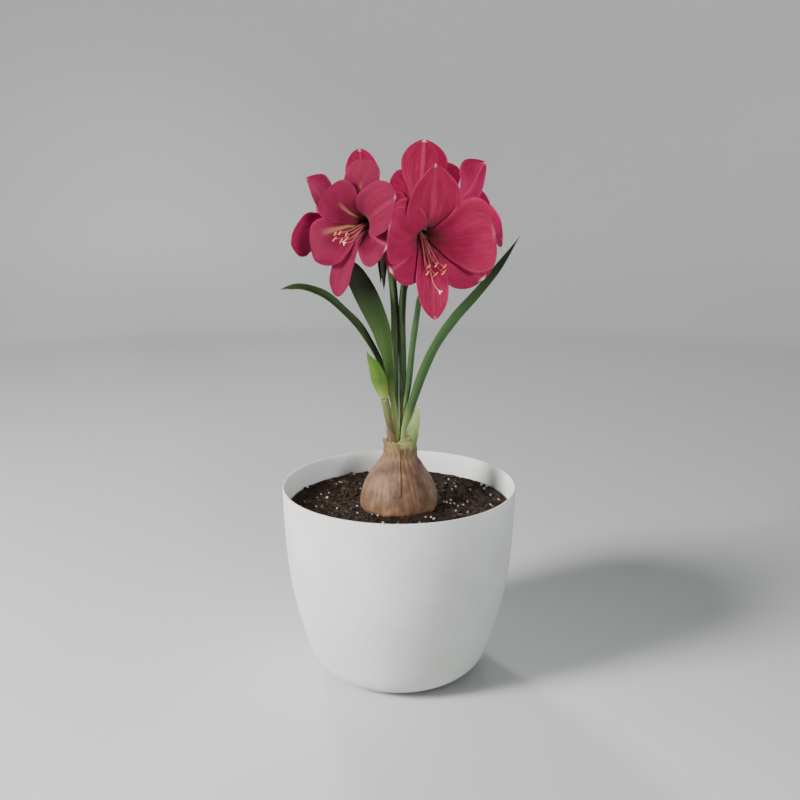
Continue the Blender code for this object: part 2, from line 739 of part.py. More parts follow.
def right_back_tepals():
    return (
        Tepal(92, 94, 68, 60, outer=True, curl=9, cup=0.07, wave=0.8, phase=0.2, lean=4,
              twist=-14),
        Tepal(20, 75, 55, 56, cup=0.05, wave=1.3, phase=1.3, lean=-4, point=0.62),
        Tepal(-34, 76, 48, 60, outer=True, curl=6, wave=1.3, phase=2.4),
        Tepal(-88, 92, 40, 56, cup=0.05, wave=0.8, phase=3.5),
        Tepal(-146, 84, 50, 60, outer=True, curl=6, wave=1.3, phase=4.6),
        Tepal(152, 84, 52, 55, cup=0.05, wave=1.3, phase=5.7),
    )


BLOOMS = (
    Bloom("left_front", "left", (-34.4, -50.0, 563.8), (-0.406, -0.913, -0.051),
          front_left_tepals(), (74.0, 7.0, 8.0)),
    Bloom("left_side", "left", (-52.0, 10.0, 562.0), (-0.98, 0.06, 0.12),
          left_side_tepals(), (52.0, 6.0, 6.0)),
    Bloom("left_back", "left", (-31.0, 41.0, 565.0), (-0.35, 0.90, 0.20),
          left_back_tepals(), (66.0, 7.0, 7.0)),
    Bloom("right_front", "right", (24.8, -50.0, 551.7), (0.242, -0.937, -0.252),
          front_right_tepals(), (79.0, 11.0, 9.0)),
    Bloom("right_side", "right", (53.0, 10.0, 570.0), (0.96, 0.06, 0.24),
          right_side_tepals(), (50.0, 6.0, 6.0)),
    Bloom("right_back", "right", (22.0, 40.0, 574.0), (0.16, 0.86, 0.46),
          right_back_tepals(), (66.0, 7.0, 7.0)),
)


def main():
    clear_scene()
    make_pot()
    make_soil()
    make_bulb()
    for side in STALKS:
        make_stalk(side, [bloom for bloom in BLOOMS if bloom.stalk == side])
    for bloom in BLOOMS:
        make_perianth(bloom)
        make_stamens(bloom)
    for name, route in BRACTS.items():
        make_bract(name, route)
    for leaf in LEAVES:
        made = blade(leaf.name, leaf.shape, leaf.rows, LEAF_COLUMNS, LEAF_THICKNESS)
        keep(made, leaf.name, leaf.finish)
    sheath = rod("sheath", smooth_route(SHEATH_ROUTE, 5), SHEATH_RADII, 2)
    keep(sheath, "leaf_short_sheath", "sheath")


main()
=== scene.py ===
import math

import bpy
import numpy as np
from mathutils import Matrix, Vector, noise


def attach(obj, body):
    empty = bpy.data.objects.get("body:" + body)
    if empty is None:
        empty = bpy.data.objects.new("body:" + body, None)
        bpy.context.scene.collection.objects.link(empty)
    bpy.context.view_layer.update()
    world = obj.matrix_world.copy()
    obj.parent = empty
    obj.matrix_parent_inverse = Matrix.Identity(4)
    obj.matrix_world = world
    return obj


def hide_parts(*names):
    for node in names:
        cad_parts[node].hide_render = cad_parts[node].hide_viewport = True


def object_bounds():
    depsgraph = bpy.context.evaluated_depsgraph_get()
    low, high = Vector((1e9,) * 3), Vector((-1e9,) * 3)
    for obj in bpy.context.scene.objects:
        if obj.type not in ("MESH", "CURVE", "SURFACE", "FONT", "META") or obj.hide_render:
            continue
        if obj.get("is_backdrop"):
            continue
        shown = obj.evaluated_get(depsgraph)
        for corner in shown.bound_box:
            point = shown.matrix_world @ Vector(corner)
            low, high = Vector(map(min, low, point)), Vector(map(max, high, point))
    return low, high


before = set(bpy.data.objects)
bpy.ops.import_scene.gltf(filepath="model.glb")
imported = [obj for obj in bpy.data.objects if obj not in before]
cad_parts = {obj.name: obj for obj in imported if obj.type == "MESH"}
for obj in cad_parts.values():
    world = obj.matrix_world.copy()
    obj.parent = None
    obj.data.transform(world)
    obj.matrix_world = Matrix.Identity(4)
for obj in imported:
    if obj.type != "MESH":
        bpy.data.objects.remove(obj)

cad_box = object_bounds()
MM = 0.001

# Studio: a seamless pale bowl that the pot stands in, one large soft lamp high on the left,
# a weak one on the right, and a camera a little above the blooms that looks slightly down.
BOWL = ((0.0, -0.001), (2.2, -0.001), (2.9, 0.05), (3.5, 0.35), (3.9, 1.0), (4.0, 2.2), (4.0, 5.0))
BOWL_SIDES = 96
BOWL_COLOUR = (0.72, 0.735, 0.735, 1.0)
LENS = 41.67
LAMPS = (
    # name, place, aim, size, power, beam in degrees, colour
    ("key", (-2.15, -1.15, 1.45), (0.0, 0.0, 0.36), 0.8, 138.0, 180.0, (1.0, 0.98, 0.95)),
    ("front", (0.75, -2.10, 1.05), (0.0, 0.0, 0.68), 0.6, 1.8, 24.0, (0.96, 0.98, 1.0)),
    ("right", (2.20, 0.50, 1.50), (0.0, 0.0, 0.72), 0.5, 1.1, 20.0, (0.98, 0.99, 1.0)),
    ("back", (-0.90, 2.20, 1.60), (0.0, 0.0, 0.66), 0.6, 3.2, 28.0, (1.0, 1.0, 1.0)),
    ("top_back", (0.3, 2.8, 2.4), (0.0, 0.0, 0.4), 1.4, 10.0, 180.0, (1.0, 1.0, 1.0)),
)
SKY = (0.80, 0.86, 0.93, 1.0)
SKY_STRENGTH = 0.12


def deselect():
    if bpy.context.object and bpy.context.object.mode != "OBJECT":
        bpy.ops.object.mode_set(mode="OBJECT")
    bpy.ops.object.select_all(action="DESELECT")


def vertex_places(mesh):
    flat = np.empty(len(mesh.vertices) * 3)
    mesh.vertices.foreach_get("co", flat)
    return flat.reshape(-1, 3)


def turned(name, profile, sides):
    """A grid whose columns go round the axis and whose rows follow the profile, in metres."""
    deselect()
    bpy.ops.mesh.primitive_grid_add(
        x_subdivisions=sides, y_subdivisions=len(profile) - 1, size=2.0, location=(0, 0, 0)
    )
    piece = bpy.context.object
    piece.name = name
    flat = vertex_places(piece.data)
    turn = (flat[:, 0] + 1) * math.pi
    row = np.rint((flat[:, 1] + 1) / 2 * (len(profile) - 1)).astype(int)
    radius, height = np.array(profile)[row].T
    places = np.stack([radius * np.cos(turn), radius * np.sin(turn), height], -1)
    piece.data.vertices.foreach_set("co", places.ravel())
    bpy.ops.object.mode_set(mode="EDIT")
    bpy.ops.mesh.select_all(action="SELECT")
    bpy.ops.mesh.remove_doubles(threshold=0.000005)
    bpy.ops.mesh.normals_make_consistent(inside=False)
    bpy.ops.object.mode_set(mode="OBJECT")
    bpy.ops.object.shade_smooth()
    return piece


def smooth_route(points, count):
    """Points on a smooth curve through the given ones, each with any number of values."""
    knots = np.array(points, float)
    knots = np.vstack([2 * knots[0] - knots[1], knots, 2 * knots[-1] - knots[-2]])
    place = np.linspace(0, len(knots) - 3, count)
    span = np.minimum(place.astype(int), len(knots) - 4)
    u = (place - span)[:, None]
    a, b, c, d = (knots[span + i] for i in range(4))
    return 0.5 * (
        2 * b + (c - a) * u + (2 * a - 5 * b + 4 * c - d) * u**2 + (3 * b - a - 3 * c + d) * u**3
    )


bowl = turned("studio_bowl", smooth_route(BOWL, 49), BOWL_SIDES)
bowl.data.flip_normals()
paint = bpy.data.materials.new("studio_paper")
paint.use_nodes = True
paint.node_tree.nodes["Principled BSDF"].inputs["Base Color"].default_value = BOWL_COLOUR
paint.node_tree.nodes["Principled BSDF"].inputs["Roughness"].default_value = 0.9
bowl.data.materials.append(paint)
bowl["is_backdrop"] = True

deselect()
bpy.ops.object.camera_add(location=(0.00125, -1.10, 0.612), rotation=(math.radians(76.55), 0, 0))
bpy.context.scene.camera = bpy.context.object
bpy.context.object.data.sensor_width = 36.0
bpy.context.object.data.lens = LENS
bpy.context.object.data.clip_start = 0.02

for lamp_name, place, aim, size, power, beam, colour in LAMPS:
    bpy.ops.object.light_add(type="AREA", location=place)
    lamp = bpy.context.object
    lamp.name = "lamp_" + lamp_name
    lamp.data.shape = "DISK"
    lamp.data.size = size
    lamp.data.energy = power
    lamp.data.spread = math.radians(beam)
    lamp.data.color = colour
    lamp.rotation_euler = (Vector(aim) - lamp.location).to_track_quat("-Z", "Y").to_euler()

world = bpy.data.worlds.new("studio_sky")
bpy.context.scene.world = world
world.use_nodes = True
world.node_tree.nodes["Background"].inputs["Color"].default_value = SKY
world.node_tree.nodes["Background"].inputs["Strength"].default_value = SKY_STRENGTH


# Pot: a thin-walled planter of white fibre-reinforced clay, cast in one piece. Its side
# tapers smoothly into a rounded lower body, its lip is thin and its skin is matt and fine-grained.
POT_HEIGHT = 243.0
POT_WALL = 3.2
POT_FLOOR = 5.0
POT_OUTLINE = (
    (72.0, 0.0), (86.0, 4.0), (100.0, 12.0), (112.0, 28.0), (124.5, 66.0),
    (134.0, 107.0), (139.7, 147.0), (142.9, 194.0), (144.3, POT_HEIGHT - 1.2),
)
LIP = ((144.25, 242.3), (144.0, 242.8), (143.4, POT_HEIGHT), (142.6, 242.9), (142.2, 242.4))
POT_WHITE = (0.76, 0.785, 0.77)
POT_SHADE = (0.68, 0.705, 0.685)
POT_MOTTLE = (0.60, 0.62, 0.60)
POT_SPECK = (0.46, 0.47, 0.45)
POT_SCUFF = (0.42, 0.41, 0.38)


def put(tree, kind, inputs=None, **settings):
    """Adds a node; a socket among the inputs is linked, and anything else is its value."""
    made = tree.nodes.new("ShaderNode" + kind)
    for key, value in settings.items():
        setattr(made, key, value)
    for key, value in (inputs or {}).items():
        if isinstance(value, bpy.types.NodeSocket):
            tree.links.new(value, made.inputs[key])
        else:
            made.inputs[key].default_value = value
    return made


def ramp(tree, factor, *stops):
    """A colour ramp from (place, colour) stops; a single number is a grey."""
    made = put(tree, "ValToRGB", {"Fac": factor})
    points = made.color_ramp.elements
    while len(points) < len(stops):
        points.new(0.5)
    for point, (place, colour) in zip(points, stops):
        point.position = place
        point.color = (*colour, 1.0) if isinstance(colour, tuple) else (colour,) * 3 + (1.0,)
    return made.outputs["Color"]


def blend(tree, factor, first, second, how="MIX"):
    """Mixes two colours, each a socket or three numbers."""
    made = put(tree, "Mix", {0: factor}, data_type="RGBA", blend_type=how)
    for key, value in ((6, first), (7, second)):
        if isinstance(value, bpy.types.NodeSocket):
            tree.links.new(value, made.inputs[key])
        else:
            made.inputs[key].default_value = (*value, 1.0)
    return made.outputs[2]


def calc(tree, operation, *values, clamp=False):
    inputs = dict(enumerate(values))
    return put(tree, "Math", inputs, operation=operation, use_clamp=clamp).outputs[0]


def effect(name, inputs, outputs):
    """A shader node group: its inputs by name with their values, and its outputs by name."""
    made = bpy.data.node_groups.new(name, "ShaderNodeTree")
    for label, value in inputs.items():
        kind = "NodeSocketVector" if isinstance(value, tuple) else "NodeSocketFloat"
        made.interface.new_socket(label, in_out="INPUT", socket_type=kind).default_value = value
    for label in outputs:
        made.interface.new_socket(label, in_out="OUTPUT", socket_type="NodeSocketFloat")
    return made, made.nodes.new("NodeGroupInput").outputs, made.nodes.new("NodeGroupOutput").inputs


NOISE = {"Scale": 300.0, "Detail": 4.0, "Roughness": 0.6, "From": 0.45, "To": 0.65, "Depth": 0.5}


def noise_outputs(tree, vector, given, results):
    """The noise itself, a mask between two of its levels, and its height in metres."""
    sockets = {key: given[key] for key in ("Scale", "Detail", "Roughness")}
    value = put(tree, "TexNoise", {"Vector": vector, **sockets}).outputs["Fac"]
    mask = put(tree, "MapRange", {0: value, 1: given["From"], 2: given["To"]}).outputs[0]
    height = calc(tree, "MULTIPLY", calc(tree, "MULTIPLY", value, given["Depth"]), MM)
    tree.links.new(value, results["Value"])
    tree.links.new(mask, results["Mask"])
    tree.links.new(height, results["Height"])


# Grain is an even or drawn-out noise in the object's own space, with its depth in millimetres.
grain_group, given, results = effect(
    "grain", {"Stretch": (1.0, 1.0, 1.0), **NOISE}, ("Value", "Mask", "Height")
)
place = put(grain_group, "TexCoord").outputs["Object"]
drawn = put(grain_group, "Mapping", {"Vector": place, "Scale": given["Stretch"]}).outputs["Vector"]
noise_outputs(grain_group, drawn, given, results)

# Rise is a mask over the height above the floor, between two levels in millimetres.
rise_group, given, results = effect("rise", {"From": 0.0, "To": 100.0}, ("Mask",))
place = put(rise_group, "TexCoord").outputs["Object"]
level = put(rise_group, "SeparateXYZ", {"Vector": place}).outputs["Z"]
level = calc(rise_group, "DIVIDE", level, MM)
mask = put(rise_group, "MapRange", {0: level, 1: given["From"], 2: given["To"]}).outputs[0]
rise_group.links.new(mask, results["Mask"])


def grain(tree, **values):
    return put(tree, "Group", values, node_tree=grain_group).outputs


def rise(tree, low, high):
    return put(tree, "Group", {"From": low, "To": high}, node_tree=rise_group).outputs["Mask"]


def relief(tree, *heights):
    """A bump from the sum of some heights, in metres."""
    total = heights[0]
    for height in heights[1:]:
        total = calc(tree, "ADD", total, height)
    return put(tree, "Bump", {"Height": total, "Distance": 1.0, "Strength": 1.0}).outputs["Normal"]


def new_material(name, **values):
    """A material with its Principled shader; the values are the shader's own."""
    made = bpy.data.materials.new(name)
    made.use_nodes = True
    tree = made.node_tree
    shader = tree.nodes["Principled BSDF"]
    for key, value in values.items():
        shader.inputs[key.replace("_", " ")].default_value = value
    return made, tree, shader


def wire(tree, shader, colour, roughness=None, normal=None):
    tree.links.new(colour, shader.inputs["Base Color"])
    if roughness is not None:
        tree.links.new(roughness, shader.inputs["Roughness"])
    if normal is not None:
        tree.links.new(normal, shader.inputs["Normal"])


def fit(piece, finish, slot, *nodes):
    """Gives a piece its material, and lets it stand for the solids of those nodes."""
    if finish:
        piece.data.materials.clear()
        piece.data.materials.append(finish)
    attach(piece, "root")
    if nodes:
        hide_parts(*nodes)


outside = smooth_route(POT_OUTLINE, 70).tolist()
inside = [(r - POT_WALL, h + 1.5) for r, h in outside if 4.5 < h < 232.0]
floor = [(0.0, POT_FLOOR), (40.0, POT_FLOOR), (80.0, POT_FLOOR), (84.0, POT_FLOOR + 0.3)]
profile = [(0.0, 0.0), (40.0, 0.0), (70.0, 0.0), *outside, *LIP, *reversed(inside), *reversed(floor)]
pot = turned("planter", np.array(profile) * MM, 160)

clay, tree, shader = new_material("white_clay", Specular_IOR_Level=0.25)
place = put(tree, "TexCoord").outputs["Object"]
pores = put(tree, "TexVoronoi", {"Vector": place, "Scale": 520.0}).outputs["Distance"]
fine = grain(tree, Scale=1400.0, Detail=3.0, Roughness=0.7, From=0.60, To=0.74, Depth=0.05)
plaster = grain(tree, Scale=210.0, From=0.50, To=0.72, Depth=0.20)
patches = grain(tree, Scale=16.0, Detail=5.0, From=0.35, To=0.70, Depth=0.25)
colour = blend(tree, patches["Mask"], POT_WHITE, POT_SHADE)
colour = blend(tree, calc(tree, "MULTIPLY", plaster["Mask"], 0.35), colour, POT_MOTTLE)
colour = blend(tree, calc(tree, "MULTIPLY", fine["Mask"], 0.7), colour, POT_SPECK)
scuff = calc(tree, "MULTIPLY", rise(tree, 20.0, 0.0), patches["Value"])
colour = blend(tree, scuff, colour, POT_SCUFF)
pits = calc(tree, "MULTIPLY", ramp(tree, pores, (0.05, 0.0), (0.25, 1.0)), 0.03 * MM)
normal = relief(tree, fine["Height"], plaster["Height"], patches["Height"], pits)
wire(tree, shader, colour, ramp(tree, fine["Value"], (0.3, 0.66), (0.7, 0.86)), normal)
fit(pot, clay, "pot", "pot")


# Soil: dark peat compost with bark chips and white perlite. It fills the pot to a finger's
# width below the lip, lies loose and uneven, and the lower two thirds of the bulb sit in it.
SOIL_LEVEL = 215.0
BULB_WAIST = 46.3
SOIL_RADIUS = 140.0
SOIL_RELIEF = 2.6
CRUMBS = 1500
PERLITE = 120
BARK = 110


def soil_height(x, y):
    """The soil's surface at a place in millimetres."""
    spot = Vector((x, y, 0.0))
    lumps = noise.noise(spot * 0.055) + 0.6 * noise.noise(spot * 0.16)
    fine = 0.5 * noise.noise(spot * 0.5) + 0.25 * noise.noise(spot * 1.3)
    reach = math.hypot(x, y)
    edge = min(1.0, max(0.0, (reach - BULB_WAIST) / 6.0), max(0.0, (SOIL_RADIUS - reach) / 5.0))
    return SOIL_LEVEL + (SOIL_RELIEF * lumps + 1.3 * fine) * edge


def scattered(name, count, sizes, squash, rng, sink=0.3, inner=49.0, outer=136.0, faces=1):
    """Many small lumps in one mesh, each an uneven icosphere that lies on the soil."""
    deselect()
    bpy.ops.mesh.primitive_ico_sphere_add(subdivisions=faces, radius=1.0, location=(0, 0, 0))
    piece = bpy.context.object
    piece.name = name
    ball = vertex_places(piece.data)
    rows = np.array([tuple(face.vertices) for face in piece.data.polygons])
    points, triangles, shades = [], [], []
    for i in range(count):
        reach = math.sqrt(rng.uniform(inner**2, outer**2))
        turn = rng.uniform(0, 2 * math.pi)
        x, y = reach * math.cos(turn), reach * math.sin(turn)
        size = rng.uniform(*sizes)
        lump = ball * (1 + rng.uniform(-0.28, 0.28, len(ball)))[:, None] * size * np.array(squash)
        spin = Matrix.Rotation(rng.uniform(0, 6.28), 3, "Z")
        tilt = Matrix.Rotation(rng.uniform(-0.5, 0.5), 3, "X")
        lump = lump @ np.array(tilt @ spin)
        centre = (x, y, soil_height(x, y) + size * squash[2] * (1 - 2 * sink))
        triangles.append(rows + len(points) * len(ball))
        points.append(lump + centre)
        shades += [rng.uniform(0, 1)] * len(ball)
    mesh = bpy.data.meshes.new(name)
    mesh.from_pydata(np.vstack(points) * MM, [], np.vstack(triangles).tolist())
    mesh.attributes.new("shade", "FLOAT", "POINT").data.foreach_set("value", shades)
    piece.data = mesh
    return piece


rings = np.linspace(BULB_WAIST + 0.4, SOIL_RADIUS - 2.2, 92).tolist()
side = [(r - POT_WALL - 0.4, h + 1.5) for r, h in reversed(outside) if 6.0 < h < 211.0]
hole = [(0.0, 167.7), (15.4, 167.6), (31.4, 174.6), (42.4, 190.0), (46.9, 208.0)]
profile = [*hole, *((r, SOIL_LEVEL) for r in rings), *side, (70.0, 5.3), (0.0, 5.3)]
soil = turned("compost", np.array(profile) * MM, 220)
for vertex in soil.data.vertices:
    x, y, z = vertex.co / MM
    if abs(z - SOIL_LEVEL) < 0.05:
        vertex.co.z = soil_height(x, y) * MM

rng = np.random.default_rng(11)
crumbs = scattered("compost_crumbs", CRUMBS, (0.7, 2.6), (1.0, 0.85, 0.7), rng)
bark = scattered("bark_chips", BARK, (2.2, 5.5), (1.0, 0.45, 0.24), rng, sink=0.1)
perlite = scattered("perlite", PERLITE, (0.8, 1.9), (1.0, 0.9, 0.8), rng, sink=0.2)

peat, tree, shader = new_material("peat", Roughness=0.95, Specular_IOR_Level=0.2)
lumps = grain(tree, Scale=260.0, Detail=6.0, Roughness=0.7, Depth=1.1)
fibres = grain(tree, Stretch=(1.0, 6.0, 2.0), Scale=240.0, Roughness=0.7, From=0.62, To=0.72)
colour = ramp(
    tree, lumps["Value"], (0.30, (0.007, 0.004, 0.003)), (0.52, (0.026, 0.015, 0.009)),
    (0.70, (0.065, 0.038, 0.022)),
)
colour = blend(tree, calc(tree, "MULTIPLY", fibres["Mask"], 0.6), colour, (0.13, 0.075, 0.04))
wire(tree, shader, colour, None, relief(tree, lumps["Height"]))
fit(soil, peat, "soil", "soil")
fit(crumbs, peat, "soil")

chips, tree, shader = new_material("bark", Roughness=0.85, Specular_IOR_Level=0.25)
shade = put(tree, "Attribute", attribute_name="shade").outputs["Fac"]
layers = grain(tree, Stretch=(1.0, 1.0, 4.0), Scale=320.0, Roughness=0.65, From=0.3, To=0.7, Depth=0.4)
colour = blend(tree, layers["Mask"], (0.035, 0.016, 0.009), (0.16, 0.075, 0.035))
colour = blend(tree, calc(tree, "MULTIPLY", shade, 0.6), colour, (0.05, 0.035, 0.025))
wire(tree, shader, colour, None, relief(tree, layers["Height"]))
fit(bark, chips, "soil")

mineral, tree, shader = new_material("perlite_white", Roughness=0.9)
froth = grain(tree, Scale=900.0, Detail=3.0, From=0.35, To=0.65, Depth=0.24)
colour = blend(tree, froth["Mask"], (0.42, 0.40, 0.36), (0.80, 0.79, 0.75))
wire(tree, shader, colour, None, relief(tree, froth["Height"]))
fit(perlite, mineral, "soil")


# Bulb: the upper third stands clear of the soil. It is fleshy and pale green at its
# shoulder, under dry brown papery skins that split, peel back and end in rags at the neck.
NECK_TOP = 300.0
NECK_HOLE = 14.8
BULB_OUTLINE = (
    (15.0, 168.0), (31.0, 175.0), (42.0, 190.0), (46.5, 208.0), (46.0, 226.0),
    (40.5, 244.0), (30.0, 262.0), (20.0, 276.0), (16.8, 287.0), (16.2, 297.0),
)
SKIN_LAYERS = (
    # foot, top, stand-off, start and sweep in turns, raggedness, seed
    (212.0, 284.0, 0.7, 0.00, 1.00, 5.0, 1.0),
    (216.0, 293.0, 1.3, 0.30, 0.62, 7.0, 2.0),
    (222.0, 271.0, 1.8, 0.83, 0.40, 9.0, 3.0),
    (238.0, 301.5, 0.8, 0.46, 0.30, 5.0, 5.0),
)
NECK_SCALES = (
    # radius, top, start and sweep in turns, raggedness, flare
    (13.4, 305.0, 0.72, 0.40, 2.5, 1.5),
    (13.0, 307.0, 0.14, 0.36, 3.0, 2.0),
    (11.2, 303.5, 0.86, 0.26, 2.0, 0.8),
    (10.6, 304.5, 0.33, 0.18, 2.5, 0.5),
)


def bulb_radius(height):
    rows = smooth_route(BULB_OUTLINE, 90)
    return np.interp(height, rows[:, 1], rows[:, 0])


rows = smooth_route(BULB_OUTLINE, 70).tolist()
rim = [(15.6, 298.6), (15.1, 298.4), (NECK_HOLE, 297.0), (NECK_HOLE, 285.2), (0.0, 285.0)]
bulb = turned("bulb_flesh", np.array([(0.0, 168.0), *rows, *rim]) * MM, 144)
for vertex in bulb.data.vertices:
    x, y, z = vertex.co / MM
    turn = math.atan2(y, x)
    if z > 218.0 and math.hypot(x, y) > NECK_HOLE + 0.5:
        swell = 1.0 + 0.012 * math.sin(7 * turn) + 0.006 * math.sin(13 * turn + 2.0)
        vertex.co.x *= swell
        vertex.co.y *= swell
    if z > 297.5:
        vertex.co.z += (0.9 * math.sin(5 * turn) + 0.6 * math.sin(9 * turn + 1.0)) * MM

# Veins are a noise drawn out along a sheet's length, from the base to the tip.
veins_group, given, results = effect("veins", {
    "Across": 50.0, "Along": 2.0, "Shift": 0.0, **NOISE, "Scale": 1.0}, ("Value", "Mask", "Height"))
uv = put(veins_group, "UVMap", uv_map="UVMap").outputs["UV"]
factors = put(veins_group, "CombineXYZ", {"X": given["Across"], "Y": given["Along"], "Z": 1.0})
offset = put(veins_group, "CombineXYZ", {"Z": given["Shift"]}).outputs[0]
drawn = put(
    veins_group, "Mapping", {"Vector": uv, "Location": offset, "Scale": factors.outputs[0]}
).outputs["Vector"]
noise_outputs(veins_group, drawn, given, results)


def veins(tree, across, along, **values):
    values.update({"Across": across, "Along": along})
    return put(tree, "Group", values, node_tree=veins_group).outputs


flesh, tree, shader = new_material(
    "bulb_flesh", Roughness=0.45, Subsurface_Weight=0.15, Subsurface_Scale=0.002
)
shader.inputs["Subsurface Radius"].default_value = (1.0, 0.8, 0.3)
lines = veins(tree, 150.0, 3.0, From=0.45, To=0.62, Depth=0.3)
colour = blend(tree, rise(tree, 235.0, 296.0), (0.38, 0.26, 0.12), (0.36, 0.36, 0.13))
colour = blend(tree, calc(tree, "MULTIPLY", lines["Mask"], 0.7), colour, (0.17, 0.12, 0.05))
wire(tree, shader, colour, None, relief(tree, lines["Height"]))
fit(bulb, flesh, "bulb", "bulb")


def sheet(name, shape, columns, rows, thickness, thin_edge=0.35, tip_rows=1.0):
    """A grid bent by shape(across, along), in millimetres, and thickened to both sides.
    Its UV map is across and along, and the attribute under is 1 on its lower side."""
    deselect()
    bpy.ops.mesh.primitive_grid_add(
        x_subdivisions=columns, y_subdivisions=rows, size=2.0, location=(0, 0, 0)
    )
    piece = bpy.context.object
    piece.name = name
    mesh = piece.data
    flat = vertex_places(mesh)
    across = flat[:, 0]
    along = 1.0 - (1.0 - (flat[:, 1] + 1) / 2) ** tip_rows
    mesh.vertices.foreach_set("co", (shape(across, along) * MM).ravel())
    corner = np.empty(len(mesh.loops), int)
    mesh.loops.foreach_get("vertex_index", corner)
    uv = np.stack([(across[corner] + 1) / 2, along[corner]], -1)
    mesh.uv_layers[0].data.foreach_set("uv", uv.ravel())
    middle = piece.vertex_groups.new(name="middle")
    steps = np.rint((1 - np.abs(across) ** 3) * (1 - along**8) * 12).astype(int)
    for step in range(13):
        middle.add([int(i) for i in np.nonzero(steps == step)[0]], step / 12, "REPLACE")
    bpy.ops.object.mode_set(mode="EDIT")
    bpy.ops.mesh.select_all(action="SELECT")
    bpy.ops.mesh.remove_doubles(threshold=0.00001)
    bpy.ops.object.mode_set(mode="OBJECT")
    count = len(mesh.vertices)
    solid = piece.modifiers.new("thickness", "SOLIDIFY")
    solid.thickness = thickness * MM
    solid.offset = 0.0
    solid.vertex_group = "middle"
    solid.thickness_vertex_group = thin_edge
    bpy.ops.object.modifier_apply(modifier="thickness")
    under = (np.arange(len(mesh.vertices)) >= count).astype(float)
    mesh.attributes.new("under", "FLOAT", "POINT").data.foreach_set("value", under)
    piece.vertex_groups.clear()
    bpy.ops.object.shade_smooth()
    return piece


def torn(turn, seed):
    """An uneven line round the bulb for the edge of a torn skin."""
    ring = np.stack([np.cos(turn) * 2, np.sin(turn) * 2, np.full_like(turn, seed)], -1)
    return np.array([
        noise.noise(Vector(spot) * 1.7) + 0.7 * noise.noise(Vector(spot) * 5.0) for spot in ring
    ])


def skin_shape(layer):
    foot, top, stand, start, sweep, rags, seed = layer

    def shape(across, along):
        turn = (start + sweep * (across + 1) / 2) * 2 * math.pi
        edge = torn(turn, seed)
        open_side = 1.0 - np.abs(across) ** 6 if sweep < 1.0 else 1.0
        high = foot + (top + rags * edge - foot) * along * (0.75 + 0.25 * open_side)
        curl = np.clip((along - 0.8) / 0.2, 0, 1) ** 2 * (1.2 + 2.0 * edge)
        wrinkle = 0.35 * np.sin(turn * 23 + seed * 3 + along * 3) + 0.2 * np.sin(turn * 51 + along * 9)
        lift = (1.0 - open_side) * 1.5 if sweep < 1.0 else 0.0
        radius = bulb_radius(high) * (1.0 + 0.012 * np.sin(7 * turn)) + stand + curl + wrinkle + lift
        return np.stack([radius * np.cos(turn), radius * np.sin(turn), high], -1)

    return shape


paper, tree, shader = new_material("dry_skin", Roughness=0.55, Sheen_Weight=0.1)
ribs = veins(tree, 220.0, 2.0, Detail=5.0, Roughness=0.65, From=0.42, To=0.66, Depth=0.4)
stains = grain(tree, Scale=55.0, Detail=5.0)
colour = ramp(
    tree, stains["Value"], (0.32, (0.065, 0.026, 0.012)), (0.5, (0.17, 0.080, 0.032)),
    (0.68, (0.31, 0.17, 0.075)),
)
colour = blend(tree, calc(tree, "MULTIPLY", rise(tree, 276.0, 298.0), 0.75), colour, (0.24, 0.17, 0.06))
colour = blend(tree, calc(tree, "MULTIPLY", ribs["Mask"], 0.75), colour, (0.07, 0.03, 0.015))
roughness = ramp(tree, ribs["Value"], (0.3, 0.45), (0.7, 0.7))
wire(tree, shader, colour, roughness, relief(tree, ribs["Height"]))
for i, layer in enumerate(SKIN_LAYERS):
    columns = max(40, int(150 * layer[4]))
    skin = sheet(f"bulb_skin_{i}", skin_shape(layer), columns, 34, 0.35, thin_edge=0.5)
    fit(skin, paper, "bulb")


def scale_shape(centre, lean, radius, foot, top, start, sweep, rags, flare, seed):
    """A torn scale that stands round a centre, which leans as it rises."""

    def shape(across, along):
        turn = (start + sweep * (across + 1) / 2) * 2 * math.pi
        side_drop = 1.0 - 0.35 * np.abs(across) ** 3
        high = foot + (top + rags * torn(turn, seed) - foot) * along * side_drop
        reach = radius + flare * along**2 + 0.2 * np.sin(turn * 19 + seed)
        spread = high - foot
        return np.stack(
            [
                centre[0] + lean[0] * spread + reach * np.cos(turn),
                centre[1] + lean[1] * spread + reach * np.sin(turn),
                high,
            ],
            -1,
        )

    return shape


for i, (radius, top, start, sweep, rags, flare) in enumerate(NECK_SCALES):
    shape = scale_shape((0, 0), (0, 0), radius, 286.0, top, start, sweep, rags, flare, i + 11.0)
    scale = sheet(f"neck_scale_{i}", shape, int(110 * sweep) + 12, 14, 0.6, thin_edge=0.4)
    fit(scale, flesh, "bulb")


